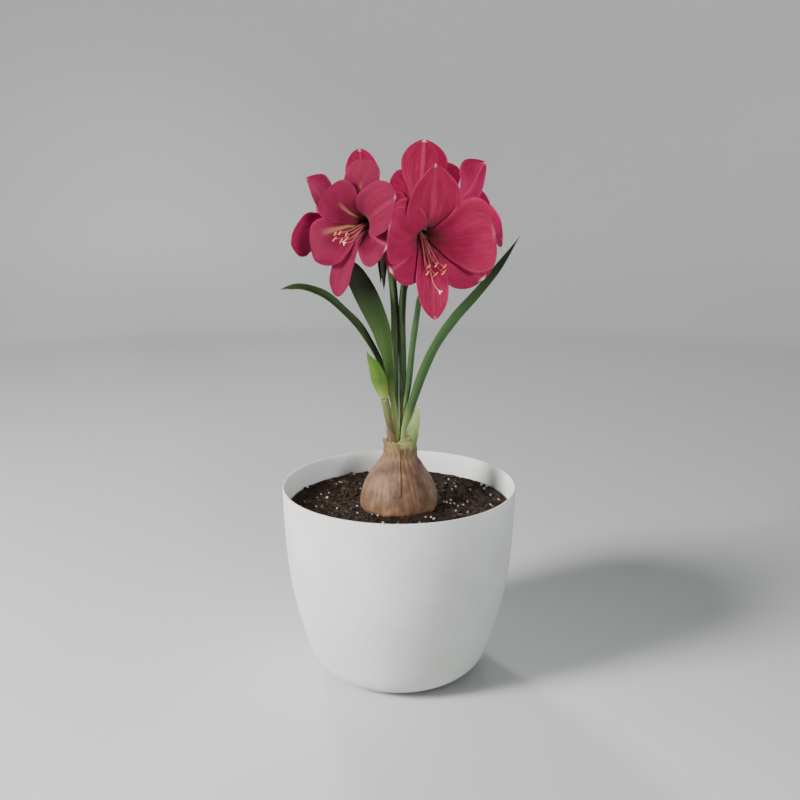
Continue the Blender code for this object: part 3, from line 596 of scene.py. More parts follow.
# Flower stalks: two hollow round stems, waxy and green, that stand in the neck and part near
# the top, with pale and dark streaks that are partly painted highlight and shade, and a painted
# shade on their upper part. Each ends in a knob from which three flower stems spread.
TUBE_LENGTH = 12.0
OVARY_LENGTH = 13.0
STALKS = {
    "left": {
        "route": ((-5.4, 3.6, 285.3), (-5.2, 3.8, 390.0), (-5.6, 4.0, 470.0), (-16.0, 4.0, 556.0)),
        "radius": 5.2,
    },
    "right": {
        "route": ((5.2, 1.6, 285.3), (4.6, 0.0, 390.0), (4.4, 0.5, 470.0), (16.0, 6.0, 558.0)),
        "radius": 4.7,
    },
}
SEATS = {
    "left_front": ("left", (-34.4, -50.0, 563.8), (-0.406, -0.913, -0.051)),
    "left_side": ("left", (-52.0, 10.0, 562.0), (-0.98, 0.06, 0.12)),
    "left_back": ("left", (-31.0, 41.0, 565.0), (-0.35, 0.90, 0.20)),
    "right_front": ("right", (24.8, -50.0, 551.7), (0.242, -0.937, -0.252)),
    "right_side": ("right", (53.0, 10.0, 570.0), (0.96, 0.06, 0.24)),
    "right_back": ("right", (22.0, 40.0, 574.0), (0.16, 0.86, 0.46)),
}


def rod(name, points, radii, resolution=3):
    """A closed round rod through points in millimetres, with a radius at each."""
    deselect()
    curve = bpy.data.curves.new(name, "CURVE")
    curve.dimensions = "3D"
    curve.bevel_depth = MM
    curve.bevel_resolution = resolution
    curve.use_fill_caps = True
    line = curve.splines.new("POLY")
    line.points.add(len(points) - 1)
    for target, spot, radius in zip(line.points, points, radii):
        target.co = (*(Vector(spot) * MM), 1.0)
        target.radius = radius
    piece = bpy.data.objects.new(name, curve)
    bpy.context.scene.collection.objects.link(piece)
    bpy.context.view_layer.objects.active = piece
    piece.select_set(True)
    bpy.ops.object.convert(target="MESH")
    piece = bpy.context.object
    bpy.ops.object.mode_set(mode="EDIT")
    bpy.ops.mesh.select_all(action="SELECT")
    bpy.ops.mesh.remove_doubles(threshold=0.000005)
    bpy.ops.mesh.normals_make_consistent(inside=False)
    bpy.ops.object.mode_set(mode="OBJECT")
    bpy.ops.object.shade_smooth()
    return piece


def join(name, parts):
    deselect()
    for part in parts:
        part.select_set(True)
    bpy.context.view_layer.objects.active = parts[0]
    bpy.ops.object.join()
    parts[0].name = name
    return parts[0]


def seat(bloom):
    """The throat's middle, and the flower's right, up and forward."""
    stalk, throat, axis = SEATS[bloom]
    forward = Vector(axis).normalized()
    right = Vector((0, 0, 1)).cross(forward).normalized()
    return Vector(throat), right, forward.cross(right), forward


stem_wax, tree, shader = new_material("stalk_green", Specular_IOR_Level=0.2)
fibre = grain(tree, Stretch=(1.0, 1.0, 0.035), Scale=420.0, From=0.48, To=0.68, Depth=0.12)
# Pale and dark streaks along the stalk: partly its own streaking, partly a painted highlight and shade.
stripe = grain(tree, Stretch=(1.0, 1.0, 0.02), Scale=130.0, Detail=2.0, Roughness=0.5)
colour = ramp(
    tree, stripe["Value"], (0.38, (0.007, 0.010, 0.004)), (0.50, (0.020, 0.038, 0.012)),
    (0.62, (0.055, 0.100, 0.030)),
)
colour = blend(tree, calc(tree, "MULTIPLY", fibre["Mask"], 0.4), colour, (0.07, 0.13, 0.04))
pale = calc(tree, "MULTIPLY", rise(tree, 355.0, 290.0), 0.8)
colour = blend(tree, pale, colour, (0.30, 0.35, 0.12))
# Painted shade: the stalks are painted darker towards the top, where the blooms shade them.
dark = calc(tree, "MULTIPLY", rise(tree, 440.0, 530.0), 0.6)
colour = blend(tree, dark, colour, (0.026, 0.032, 0.015))
roughness = ramp(tree, fibre["Value"], (0.3, 0.32), (0.7, 0.5))
wire(tree, shader, colour, roughness, relief(tree, fibre["Height"]))

for side_name, stalk in STALKS.items():
    route = smooth_route(stalk["route"], 60)
    radii = stalk["radius"] * np.linspace(1.0, 0.92, 60)
    radii[-6:] += np.array([0.1, 0.5, 1.1, 1.8, 2.3, 2.4])
    tip = route[-1]
    route = [*route, tip + (0, 0, 1.6), tip + (0, 0, 3.0), tip + (0, 0, 3.6)]
    parts = [rod("shaft", route, [*radii, 6.6, 4.6, 2.2], 7)]
    for bloom, (holder, throat, axis) in SEATS.items():
        if holder != side_name:
            continue
        centre, right, up, forward = seat(bloom)
        foot = centre - forward * TUBE_LENGTH
        base = foot - forward * OVARY_LENGTH
        start = Vector(tip) + (base - Vector(tip)).normalized() * 2.0
        bend = (start + base) / 2 + Vector((0, 0, 1.5)) - forward * 1.5
        stem = smooth_route([(*start, 3.3), (*bend, 2.6), (*base, 2.7)], 14).tolist()
        for step, radius in ((0.15, 3.2), (0.35, 4.3), (0.6, 4.7), (0.85, 4.4), (1.0, 4.2)):
            stem.append([*(base + forward * OVARY_LENGTH * step), radius])
        parts.append(rod("stem", [p[:3] for p in stem], [p[3] for p in stem], 5))
    whole = join("stalk_" + side_name + "_green", parts)
    mesher = whole.modifiers.new("skin", "REMESH")
    mesher.mode = "VOXEL"
    mesher.voxel_size = 0.6 * MM
    bpy.ops.object.modifier_apply(modifier="skin")
    even = whole.modifiers.new("even", "SMOOTH")
    even.factor = 0.5
    even.iterations = 4
    bpy.ops.object.modifier_apply(modifier="even")
    bpy.ops.object.shade_smooth()
    fit(whole, stem_wax, "stalk", "stalk_" + side_name)


# Blooms: each has a short tube and two whorls of three broad petals that spread into a wide
# funnel. They are deep rose with fine veins, dark and streaked in the throat.
CUP_RADIUS = 4.8
CUP_DEPTH = 7.0
TUBE_MOUTH = 7.0
TUBE_FOOT = 4.2
WHORL_STEP = 1.4
WHORL_SPREAD = 4.0
FLARE_REACH = 84.0
PETAL_THICKNESS = 0.8
PETAL_COLUMNS = 40
PETAL_ROWS = 60


def petal(angle, length, width, flare, outer=False, curl=0.0, cup=0.0, wave=2.0, phase=0.0,
          lean=0.0, twist=0.0, start=12.0, point=0.72, rise=1.3, cream=0.0, glow=0.0,
          rib=0.0, tone=1.0):
    """One petal: angle round the axis in degrees (0 right, 90 up), length and width in
    millimetres, flare from the axis, how it bends, how strong its cream lines and its painted
    highlights are, how far its midrib is off the middle, and its share of its bloom's painted light."""
    return dict(locals())


def step_up(value):
    value = np.clip(value, 0.0, 1.0)
    return value * value * (3.0 - 2.0 * value)


def petal_shape(leaf):
    """shape(across, along) of a petal in its flower's own axes: right, up and forward."""
    count = 96
    half_steps = (np.arange(count) + 0.5) / count
    slopes = leaf["start"] + (leaf["flare"] - leaf["start"]) * step_up(
        half_steps * leaf["length"] / FLARE_REACH
    )
    slopes = np.radians(slopes + leaf["curl"] * step_up((half_steps - 0.62) / 0.38))
    step = leaf["length"] / count
    outs = np.concatenate([[0], np.cumsum(np.sin(slopes))]) * step + CUP_RADIUS + 0.45
    alongs = np.concatenate([[0], np.cumsum(np.cos(slopes))]) * step - CUP_DEPTH * 0.55
    marks = np.linspace(0, 1, count + 1)
    twist = math.radians(leaf["twist"])
    peak = leaf["rise"] / (leaf["rise"] + leaf["point"])
    top = peak ** leaf["rise"] * (1 - peak) ** leaf["point"]

    def shape(s, t):
        out = np.interp(t, marks, outs)
        along = np.interp(t, marks, alongs)
        slope = np.interp(t, half_steps, slopes)
        body = t ** leaf["rise"] * (1 - t) ** leaf["point"] / top
        full = 3.0 * (1 - step_up(t / 0.5)) + leaf["width"] / 2 * body
        room = 0.93 * out
        half = full * room / (full**5 + room**5) ** 0.2
        # The edge is frilled a little, and the veins and the midrib stand in low relief.
        frill = 1 + 0.012 * np.sin(23 * t + leaf["phase"] * 3) * np.abs(s) ** 4 * (t > 0.05)
        flat = s * half * frill
        turn = np.clip((1.0 - t**1.6) * flat / out, -1.25, 1.25)
        flat = flat - turn * out
        lift = leaf["cup"] * half * s * s * step_up((t - 0.15) / 0.45)
        ruffle = step_up((t - 0.35) / 0.3) * (1 - 0.7 * step_up((t - 0.85) / 0.15))
        beat = np.sin(9 * t + leaf["phase"] + np.where(s > 0, 1.6, 0.0))
        lift += leaf["wave"] * np.abs(s) ** 1.6 * ruffle * beat
        lift += 0.45 * np.abs(s) ** 3 * ruffle * np.sin(31 * t + leaf["phase"] * 5 + 2 * s)
        lift -= 0.9 * np.exp(-(((s - leaf["rib"]) / 0.045) ** 2)) * step_up(t / 0.2) * (1 - t)
        lift += 0.10 * np.sin(s * 40) * step_up(t / 0.3) * (1 - t**4)
        if leaf["outer"]:
            lift -= WHORL_STEP + WHORL_SPREAD * t
        roll = twist * t * t
        flat, lift = (
            flat * np.cos(roll) - lift * np.sin(roll), flat * np.sin(roll) + lift * np.cos(roll)
        )
        flat += leaf["lean"] * t * t
        out = out - np.cos(slope) * lift
        along = along + np.sin(slope) * lift
        angle = math.radians(leaf["angle"]) + turn
        return np.stack(
            [
                out * np.cos(angle) - flat * np.sin(angle),
                out * np.sin(angle) + flat * np.cos(angle),
                along,
            ],
            -1,
        )

    return shape


PETALS = {
    "right_front": (
        petal(92, 121, 69, 71, outer=True, curl=3, cup=0.11, wave=1.0, phase=0.5, lean=4,
              twist=13, point=0.95, rise=1.2, glow=0.7),
        petal(16, 96, 98, 69, curl=-4, cup=0.02, wave=2.0, phase=1.0, lean=2, twist=-10,
              point=0.38, glow=0.1),
        petal(-36, 98, 53, 81, outer=True, curl=9, cup=-0.02, wave=1.6, phase=2.2, lean=4,
              twist=18, point=0.38, glow=1.0),
        petal(-88, 107, 37, 63, cup=0.04, wave=0.8, phase=0.0, rise=1.35, glow=0.3),
        petal(-151, 78, 66, 67, outer=True, curl=8, wave=1.4, phase=1.2, twist=4, point=0.54,
              glow=1.0),
        petal(159, 92, 80, 65, curl=-5, cup=0.03, wave=1.8, phase=2.8, lean=-8, twist=20,
              point=0.41, glow=0.2),
    ),
    "left_front": (
        petal(79, 95, 41, 82, outer=True, curl=11, cup=-0.03, wave=1.2, phase=0.3, lean=-8,
              point=0.37, cream=0.7, tone=0.82),
        petal(130, 71, 63, 69, wave=1.0, phase=1.4, lean=-10, point=0.46, cream=1.0),
        petal(211, 80, 72, 72, outer=True, curl=-3, cup=0.3, wave=1.0, phase=2.0, lean=4,
              twist=36, point=0.7, cream=1.0, rib=-0.5),
        petal(261, 102, 26, 68, curl=11, cup=0.14, wave=0.6, phase=0.4, lean=1, point=0.54),
        petal(334, 74, 72, 68, outer=True, curl=8, cup=0.2, wave=1.2, phase=1.8, lean=3,
              point=0.38, glow=1.0),
        petal(24, 107, 58, 64, curl=-2, cup=0.13, wave=1.6, phase=2.6, lean=4, twist=-32,
              point=0.6, glow=0.3),
    ),
    "left_side": (
        petal(52, 87, 68, 72, outer=True, curl=-18, cup=-0.35, wave=0.6, phase=0.4, lean=-5,
              twist=-8, start=11, point=0.95, rise=1.05, glow=0.4, tone=0.78),
        petal(-38, 89, 66, 63, curl=-11, cup=-0.05, wave=0.6, phase=1.5, lean=3, twist=15,
              start=11, point=0.7),
        petal(-93, 68, 44, 60, outer=True, cup=0.1, wave=0.8, phase=2.6, start=11, glow=0.5),
        petal(-147, 78, 46, 52, cup=0.1, wave=0.8, phase=3.7, start=11, cream=0.5),
        petal(164, 80, 48, 60, outer=True, cup=0.05, wave=0.8, phase=4.8, start=11, glow=0.5),
        petal(108, 80, 46, 56, cup=0.1, wave=0.8, phase=5.9, start=11, cream=0.5),
    ),
    "left_back": (
        petal(91, 102, 44, 62, outer=True, curl=-10, cup=-0.1, wave=1.2, phase=0.8, twist=-9,
              point=0.66, glow=0.4),
        petal(32, 78, 48, 54, cup=0.05, wave=1.2, phase=1.9, cream=0.5),
        petal(-28, 80, 48, 60, outer=True, curl=6, wave=1.2, phase=3.0, glow=0.6),
        petal(-88, 92, 38, 56, cup=0.05, wave=0.8, phase=4.1),
        petal(-148, 76, 46, 58, outer=True, curl=6, wave=1.2, phase=5.2, glow=0.6),
        petal(152, 72, 46, 52, cup=0.05, wave=1.2, phase=6.3, cream=0.5),
    ),
    "right_side": (
        petal(116, 86, 80, 72, outer=True, curl=-18, cup=-0.38, wave=0.8, phase=0.9, lean=10,
              twist=25, start=11, point=0.82, rise=1.05, glow=0.4, tone=0.62),
        petal(52, 80, 50, 58, cup=0.1, wave=0.8, phase=2.0, start=11, cream=0.5),
        petal(-12, 80, 50, 64, outer=True, cup=0.05, wave=0.8, phase=3.1, start=11, glow=0.5),
        petal(-74, 80, 44, 54, cup=0.1, wave=0.8, phase=4.2, start=11),
        petal(-142, 91, 63, 66, outer=True, curl=8, cup=0.14, wave=0.8, phase=5.3, lean=3,
              twist=-7, start=11, glow=0.3),
        petal(176, 62, 46, 52, cup=0.1, wave=0.8, phase=6.4, start=11),
    ),
    "right_back": (
        petal(92, 94, 68, 60, outer=True, curl=9, cup=0.07, wave=0.8, phase=0.2, lean=4,
              twist=-14, glow=0.6),
        petal(20, 75, 55, 56, cup=0.05, wave=1.3, phase=1.3, lean=-4, point=0.62),
        petal(-34, 76, 48, 60, outer=True, curl=6, wave=1.3, phase=2.4, glow=0.6),
        petal(-88, 92, 40, 56, cup=0.05, wave=0.8, phase=3.5),
        petal(-146, 84, 50, 60, outer=True, curl=6, wave=1.3, phase=4.6, glow=0.6),
        petal(152, 84, 52, 55, cup=0.05, wave=1.3, phase=5.7, cream=0.4),
    ),
}

# Where a place lies on a sheet: how far from the middle line, how far along, which side.
sheet_group, given, results = effect("sheet_place", {}, ("Aside", "Along", "Under"))
uv = put(sheet_group, "UVMap", uv_map="UVMap").outputs["UV"]
ways = put(sheet_group, "SeparateXYZ", {"Vector": uv}).outputs
aside = calc(sheet_group, "ABSOLUTE", calc(sheet_group, "MULTIPLY_ADD", ways["X"], 2.0, -1.0))
lower = put(sheet_group, "Attribute", attribute_name="under").outputs["Fac"]
sheet_group.links.new(aside, results["Aside"])
sheet_group.links.new(ways["Y"], results["Along"])
sheet_group.links.new(lower, results["Under"])


def sheet_place(tree):
    found = put(tree, "Group", node_tree=sheet_group).outputs
    return found["Aside"], found["Along"], found["Under"]


def between(tree, value, low, high, most=1.0):
    """A mask that goes from 0 at low to most at high."""
    return put(tree, "MapRange", {0: value, 1: low, 2: high, 4: most}).outputs[0]


# Painted light: each bloom's colour is scaled for the light that falls on it, so the blooms in shade are painted
# lighter and the left front bloom, in the key light, darker and more magenta.
BLOOM_TINT = {
    "left_front": (0.74, 0.30, 1.00), "left_side": (1.50, 2.20, 1.90),
    "left_back": (1.00, 1.00, 1.00), "right_front": (1.42, 1.50, 1.60),
    "right_side": (1.75, 2.20, 2.20), "right_back": (0.95, 0.95, 0.95),
}

velvet, tree, shader = new_material(
    "petal_rose", Subsurface_Weight=0.30, Subsurface_Scale=0.0016, Sheen_Weight=0.03,
    Sheen_Roughness=0.45, Specular_IOR_Level=0.07,
)
shader.inputs["Subsurface Radius"].default_value = (1.0, 0.35, 0.45)
shader.inputs["Sheen Tint"].default_value = (1.0, 0.55, 0.70, 1.0)
aside, along, under = sheet_place(tree)
marks = put(tree, "Attribute", attribute_name="marks").outputs
width = marks["Alpha"]
marks = put(tree, "SeparateColor", {"Color": marks["Color"]}).outputs
shift = calc(tree, "MULTIPLY", marks["Blue"], 9.0)
rib = put(tree, "Attribute", attribute_name="rib").outputs["Fac"]
uneven = veins(tree, 34.0, 3.0, Shift=shift, Detail=3.0, Depth=0.10)
hairs = veins(tree, 120.0, 2.5, Shift=shift, Detail=3.0, From=0.50, To=0.66, Depth=0.07)
blush = veins(tree, 5.0, 3.0, Shift=shift, Detail=3.0, Roughness=0.55)
uv = put(tree, "UVMap", uv_map="UVMap").outputs["UV"]
size = put(tree, "CombineXYZ", {"X": width, "Y": 0.6, "Z": 1.0}).outputs[0]
spot = put(tree, "VectorMath", {0: uv, 1: size}, operation="MULTIPLY").outputs["Vector"]
bands = put(tree, "TexWave", {"Vector": spot, "Scale": 12.5, "Distortion": 3.0, "Detail": 2.0,
                              "Detail Scale": 1.6}).outputs["Fac"]
vein = put(tree, "Mix", {0: 0.45, 2: bands, 3: uneven["Value"]}).outputs[0]
colour = ramp(
    tree, blush["Value"], (0.30, (0.130, 0.0022, 0.018)), (0.52, (0.182, 0.0034, 0.029)),
    (0.72, (0.235, 0.0058, 0.046)),
)
colour = blend(tree, between(tree, vein, 0.48, 0.76, 0.62), colour, (0.055, 0.0008, 0.008))
colour = blend(tree, calc(tree, "MULTIPLY", hairs["Mask"], 0.34), colour, (0.30, 0.016, 0.085))
colour = blend(tree, between(tree, aside, 0.86, 1.0, 0.35), colour, (0.30, 0.018, 0.080))
# The bloom's painted light scales the petal colour.
tint = put(tree, "Attribute", attribute_name="tint").outputs["Color"]
colour = blend(tree, 1.0, colour, tint, "MULTIPLY")
# The throat darkens in streaks that follow the veins.
ragged = calc(tree, "MULTIPLY_ADD", vein, 0.30, calc(tree, "SUBTRACT", along, 0.15))
throat = between(tree, ragged, 0.44, 0.10, 0.90)
colour = blend(tree, throat, colour, (0.035, 0.006, 0.006))
# A pale line runs up the middle: cream near the throat on some petals, and on others a painted pink highlight along
# the midrib.
cream = calc(tree, "MULTIPLY", between(tree, rib, 0.15, 0.05), between(tree, along, 0.76, 0.46))
cream = calc(tree, "MULTIPLY", cream, marks["Red"])
colour = blend(tree, calc(tree, "MULTIPLY", cream, 0.9), colour, (0.38, 0.24, 0.10))
fan = calc(tree, "MULTIPLY", between(tree, along, 0.52, 0.22), between(tree, vein, 0.34, 0.20))
colour = blend(tree, calc(tree, "MULTIPLY", fan, 0.45), colour, (0.34, 0.14, 0.09))
glow = calc(tree, "MULTIPLY", between(tree, rib, 0.13, 0.0), between(tree, along, 0.22, 0.50))
glow = calc(tree, "MULTIPLY", glow, marks["Green"])
colour = blend(tree, calc(tree, "MULTIPLY", glow, 0.5), colour, (0.46, 0.050, 0.13))
# A painted white highlight at the tips of the petals that carry the painted pink highlight.
tip = calc(tree, "MULTIPLY", between(tree, along, 0.955, 0.985), between(tree, aside, 0.45, 0.1))
colour = blend(tree, calc(tree, "MULTIPLY", tip, marks["Green"]), colour, (0.78, 0.60, 0.56))
# The outside is duller, with a green keel at the foot.
keel = calc(tree, "MULTIPLY", between(tree, along, 0.45, 0.05), between(tree, aside, 0.5, 0.0))
back = blend(tree, 0.25, colour, (0.22, 0.028, 0.045))
back = blend(tree, calc(tree, "MULTIPLY", keel, 0.8), back, (0.10, 0.09, 0.03))
colour = blend(tree, under, colour, back)
ridges = calc(tree, "MULTIPLY", bands, -0.09 * MM)
normal = relief(tree, ridges, uneven["Height"], hairs["Height"])
wire(tree, shader, colour, ramp(tree, hairs["Value"], (0.3, 0.58), (0.7, 0.78)), normal)


def flower_frame(bloom):
    centre, right, up, forward = seat(bloom)
    turn = Matrix((right, up, forward)).transposed().to_4x4()
    return Matrix.Translation(centre * MM) @ turn


def paint_marks(mesh, cream, glow, shift, width, tone, rib):
    """How strong the cream lines and painted highlights are, where the vein pattern starts, the
    width in decimetres, the bloom's painted light, and how far each point lies from the midrib."""
    count = len(mesh.vertices)
    marks = np.tile((cream, glow, shift, width), count)
    mesh.attributes.new("marks", "FLOAT_COLOR", "POINT").data.foreach_set("color", marks)
    tint = np.tile((*tone, 1.0), count)
    mesh.attributes.new("tint", "FLOAT_COLOR", "POINT").data.foreach_set("color", tint)
    mesh.attributes.new("rib", "FLOAT", "POINT").data.foreach_set("value", rib)


for number, (bloom, petals) in enumerate(PETALS.items()):
    tube_wall = [
        (0.0, 0.3 - TUBE_LENGTH), (TUBE_FOOT, 0.3 - TUBE_LENGTH), (4.6, -8.5), (5.6, -4.5),
        (6.5, -1.0), (TUBE_MOUTH, 1.2), (6.2, 1.5), (CUP_RADIUS + 0.2, 0.2), (4.4, -5.0),
        (3.6, -CUP_DEPTH), (0.0, -CUP_DEPTH),
    ]
    tube = turned("tube", np.array(tube_wall) * MM, 36)
    spots = vertex_places(tube.data)
    level = np.empty(len(tube.data.loops), int)
    tube.data.loops.foreach_get("vertex_index", level)
    heights = np.clip((spots[level, 2] / MM + TUBE_LENGTH) / 60, 0.0, 0.2)
    turns = np.arctan2(spots[level, 1], spots[level, 0]) / (2 * math.pi) + 0.5
    tube.data.uv_layers[0].data.foreach_set("uv", np.stack([turns, heights], -1).ravel())
    inner = (np.hypot(spots[:, 0], spots[:, 1]) < 0.0061) & (spots[:, 2] > -0.0075)
    tube.data.attributes.new("under", "FLOAT", "POINT").data.foreach_set("value", 1.0 - inner)
    # The bloom's painted light, for its tube and, in shares, for its petals.
    tone = BLOOM_TINT[bloom]
    paint_marks(tube.data, 0.0, 0.0, 0.5, 0.4, tone, np.ones(len(spots)))
    parts = [tube]
    for i, leaf in enumerate(petals):
        blade = sheet(
            f"petal_{i}", petal_shape(leaf), PETAL_COLUMNS, PETAL_ROWS, PETAL_THICKNESS,
            thin_edge=0.4, tip_rows=1.3,
        )
        corner = np.empty(len(blade.data.loops), int)
        blade.data.loops.foreach_get("vertex_index", corner)
        uv = np.empty(len(corner) * 2)
        blade.data.uv_layers[0].data.foreach_get("uv", uv)
        rib = np.ones(len(blade.data.vertices))
        rib[corner] = np.abs(uv[::2] * 2 - 1 - leaf["rib"] * step_up(uv[1::2] / 0.35))
        shift = (number * 6 + i) * 0.37 % 1.0
        own = [channel * leaf["tone"] for channel in tone]
        paint_marks(blade.data, leaf["cream"], leaf["glow"], shift, leaf["width"] / 100, own, rib)
        parts.append(blade)
    whole = join("flower_" + bloom, parts)
    whole.data.transform(flower_frame(bloom))
    fit(whole, velvet, "petal", "bloom_" + bloom)


# Stamens: six pale pink filaments that bow down and up again, each with a hooked peach
# anther dusted with pollen, and the longer style that ends in three small pale lobes.
STAMENS = {
    # length, droop and spread of the stamens, and the style's length against theirs
    "left_front": (80.0, 8.0, 6.5, 0.80),
    "left_side": (52.0, 6.0, 6.0, 1.2),
    "left_back": (66.0, 7.0, 7.0, 1.2),
    "right_front": (79.0, 17.5, 9.0, 1.22),
    "right_side": (50.0, 6.0, 6.0, 1.2),
    "right_back": (66.0, 7.0, 7.0, 1.2),
}
FOOT_RING = 1.6
FILAMENT_RADIUS = 0.66

thread, tree, shader = new_material(
    "filament_pink", Roughness=0.4, Subsurface_Weight=0.15, Subsurface_Scale=0.001,
    Specular_IOR_Level=0.35,
)
shader.inputs["Subsurface Radius"].default_value = (1.0, 0.4, 0.4)
reach = put(tree, "Attribute", attribute_name="reach").outputs["Fac"]
soft = grain(tree, Scale=300.0, Detail=3.0, From=0.45, To=0.75, Depth=0.05)
colour = ramp(
    tree, reach, (0.0, (0.08, 0.035, 0.015)), (0.18, (0.30, 0.085, 0.070)),
    (0.55, (0.42, 0.085, 0.105)), (1.0, (0.52, 0.15, 0.16)),
)
colour = blend(tree, calc(tree, "MULTIPLY", soft["Mask"], 0.35), colour, (0.66, 0.32, 0.28))
wire(tree, shader, colour, None, relief(tree, soft["Height"]))

pollen, tree, shader = new_material("anther_peach", Roughness=0.85, Sheen_Weight=0.15)
dust = grain(tree, Scale=1900.0, Detail=3.0, Roughness=0.7, Depth=0.2)
colour = ramp(
    tree, dust["Value"], (0.32, (0.30, 0.050, 0.016)), (0.5, (0.56, 0.14, 0.042)),
    (0.7, (0.78, 0.32, 0.11)),
)
wire(tree, shader, colour, None, relief(tree, dust["Height"]))

lobe, tree, shader = new_material("stigma_pale", Roughness=0.5)
felt = grain(tree, Scale=1500.0, Detail=3.0, Roughness=0.7, From=0.3, To=0.7, Depth=0.12)
colour = blend(tree, felt["Mask"], (0.66, 0.30, 0.38), (0.88, 0.66, 0.68))
wire(tree, shader, colour, None, relief(tree, felt["Height"]))


def flower_place(bloom, point):
    centre, right, up, forward = seat(bloom)
    return centre + right * point[0] + up * point[1] + forward * point[2]


def mark_reach(piece, bloom, length):
    centre, right, up, forward = seat(bloom)
    spots = vertex_places(piece.data) / MM - np.array(centre)
    value = np.clip((spots @ np.array(forward) + CUP_DEPTH) / length, 0, 1)
    piece.data.attributes.new("reach", "FLOAT", "POINT").data.foreach_set("value", value)


for bloom, (length, droop, spread, style_reach) in STAMENS.items():
    centre, right, up, forward = seat(bloom)
    threads, anthers, lobes = [], [], []
    base = 0.3 - CUP_DEPTH
    threads.append(
        rod("boss", [flower_place(bloom, (0, 0, base + u)) for u in (0.0, 1.6, 2.6, 3.2)],
            (2.9, 2.9, 2.4, 1.2), 4)
    )
    for i in range(7):
        style = i == 6
        turn = math.radians(60 * i + 30)
        foot = (0.0, 0.0) if style else (FOOT_RING * math.cos(turn), FOOT_RING * math.sin(turn))
        reach = length * (style_reach if style else 0.93 + 0.05 * math.sin(3.1 * i))
        wide = -0.1 * spread if style else spread * math.cos(turn)
        high = -droop * 1.9 if style else -droop + 0.45 * spread * math.sin(turn)
        knots = []
        for u in (0.0, 0.13, 0.4, 0.7, 0.97):
            bend = math.sin(u * math.pi * 0.5) ** 1.9
            spot = (
                foot[0] + wide * u**1.3,
                foot[1] + high * bend * (1.0 + 0.35 * math.sin(math.pi * u)),
                base + 1.5 + reach * u,
            )
            knots.append((*flower_place(bloom, spot), FILAMENT_RADIUS * (1.15 - 0.45 * u)))
        line = smooth_route(knots, 22)
        threads.append(rod("filament", line[:, :3], line[:, 3], 2))
        end = Vector(line[-1, :3])
        if style:
            for k in range(3):
                way = right * math.cos(2.1 * k + 0.4) + up * math.sin(2.1 * k + 0.4)
                petal_points = [end - forward * 0.4, end + forward * 0.9 + way * 0.8,
                                end + forward * 1.6 + way * 1.9, end + forward * 1.5 + way * 2.6]
                lobes.append(rod("lobe", petal_points, (0.75, 0.9, 0.75, 0.35), 2))
            continue
        # The anther hangs by its middle and curls into a hook as it dries.
        hook = right * math.cos(turn * 2 + i) + up * math.sin(turn * 2 + i)
        middle = end + forward * 1.0 + hook * 1.2
        curl = (2.2 + 1.4 * math.sin(5.3 * i)) * (1 if i % 2 else -1)
        points, radii = [], []
        for k in range(13):
            u = k / 12 * 2 - 1
            away = hook * 2.9 * u + (up * 0.8 + right * 0.6) * curl * (u * u - 0.3)
            points.append(middle + away - forward * 2.2 * u * u)
            radii.append(0.62 * (1 - abs(u) ** 3) ** 0.5 + 0.14)
        anthers.append(rod("anther", points, radii, 3))
    join("filaments_" + bloom, threads)
    join("anthers_" + bloom, anthers)
    join("stigma_" + bloom, lobes)
    mark_reach(threads[0], bloom, length)
    fit(threads[0], thread, "stamen", "stamens_" + bloom)
    fit(anthers[0], pollen, "stamen", "stamens_" + bloom)
    fit(lobes[0], lobe, "stamen", "stamens_" + bloom)


# Leaves: long fleshy straps that rise from the neck, grooved along the middle. The upper
# face is dark and glossy, the lower one lighter, and fine parallel veins run to the tip.
LEAF_THICKNESS = 1.4
LEAVES = (
    (
        "leaf_arching_left",
        ((0.4, 10.9, 285.4, 4.5), (-6.6, 13.0, 335.6, 8.8), (-14.7, 13.0, 364.4, 9.7),
         (-25.5, 12.0, 395.6, 10.3), (-36.8, 11.5, 417.7, 11.2), (-50.4, 11.0, 438.4, 12.7),
         (-66.8, 12.0, 455.5, 12.4), (-84.3, 14.0, 471.1, 12.8), (-99.3, 18.0, 478.5, 13.3),
         (-116.3, 21.0, 483.3, 11.9), (-130.3, 23.5, 483.1, 9.5), (-146.0, 26.0, 480.6, 0.0)),
        (0.8, -0.6, 0.0), (0.2, -0.5, 0.85), 0.3, 0.0,
    ),
    (
        "leaf_broad_left",
        ((0.4, -4.9, 285.4, 5.0), (-4.6, -8.0, 335.8, 5.6), (-8.2, -10.0, 357.5, 6.2),
         (-10.4, -12.0, 380.2, 8.0), (-13.6, -13.5, 402.9, 12.2), (-17.5, -14.0, 420.3, 17.9),
         (-22.2, -13.5, 439.7, 23.2), (-34.4, -11.0, 467.8, 27.9), (-45.3, -6.5, 489.0, 27.3),
         (-55.8, -1.0, 506.7, 21.3), (-68.4, 4.0, 526.5, 0.0)),
        (0.0, 1.0, 0.0), (0.25, 1.0, 0.1), 0.12, 0.05,
    ),
    (
        "leaf_narrow_middle",
        ((7.6, -5.0, 285.4, 4.5), (7.2, -6.8, 334.3, 5.0), (9.5, -7.6, 351.9, 6.4),
         (12.3, -8.4, 370.7, 7.5), (15.4, -9.3, 404.0, 8.0), (18.2, -10.0, 428.4, 8.1),
         (21.8, -11.0, 453.9, 7.9), (24.5, -12.0, 473.9, 6.7), (28.5, -12.0, 491.5, 0.0)),
        (-0.2, 1.0, 0.0), (-0.5, 1.0, 0.2), 0.35, 0.1,
    ),
    (
        "leaf_long_right",
        ((3.6, -9.2, 285.4, 6.0), (6.7, -11.5, 315.3, 7.2), (12.5, -13.5, 332.2, 10.9),
         (18.3, -15.5, 350.3, 12.6), (30.2, -18.0, 385.4, 14.3), (45.9, -21.5, 420.2, 15.9),
         (67.3, -24.5, 451.4, 17.5), (93.9, -24.0, 481.7, 18.0), (118.8, -19.0, 512.7, 15.0),
         (140.2, -10.0, 546.7, 0.0)),
        (-0.3, 1.0, 0.0), (-0.8, 0.6, 0.5), 0.35, 0.1,
    ),
)


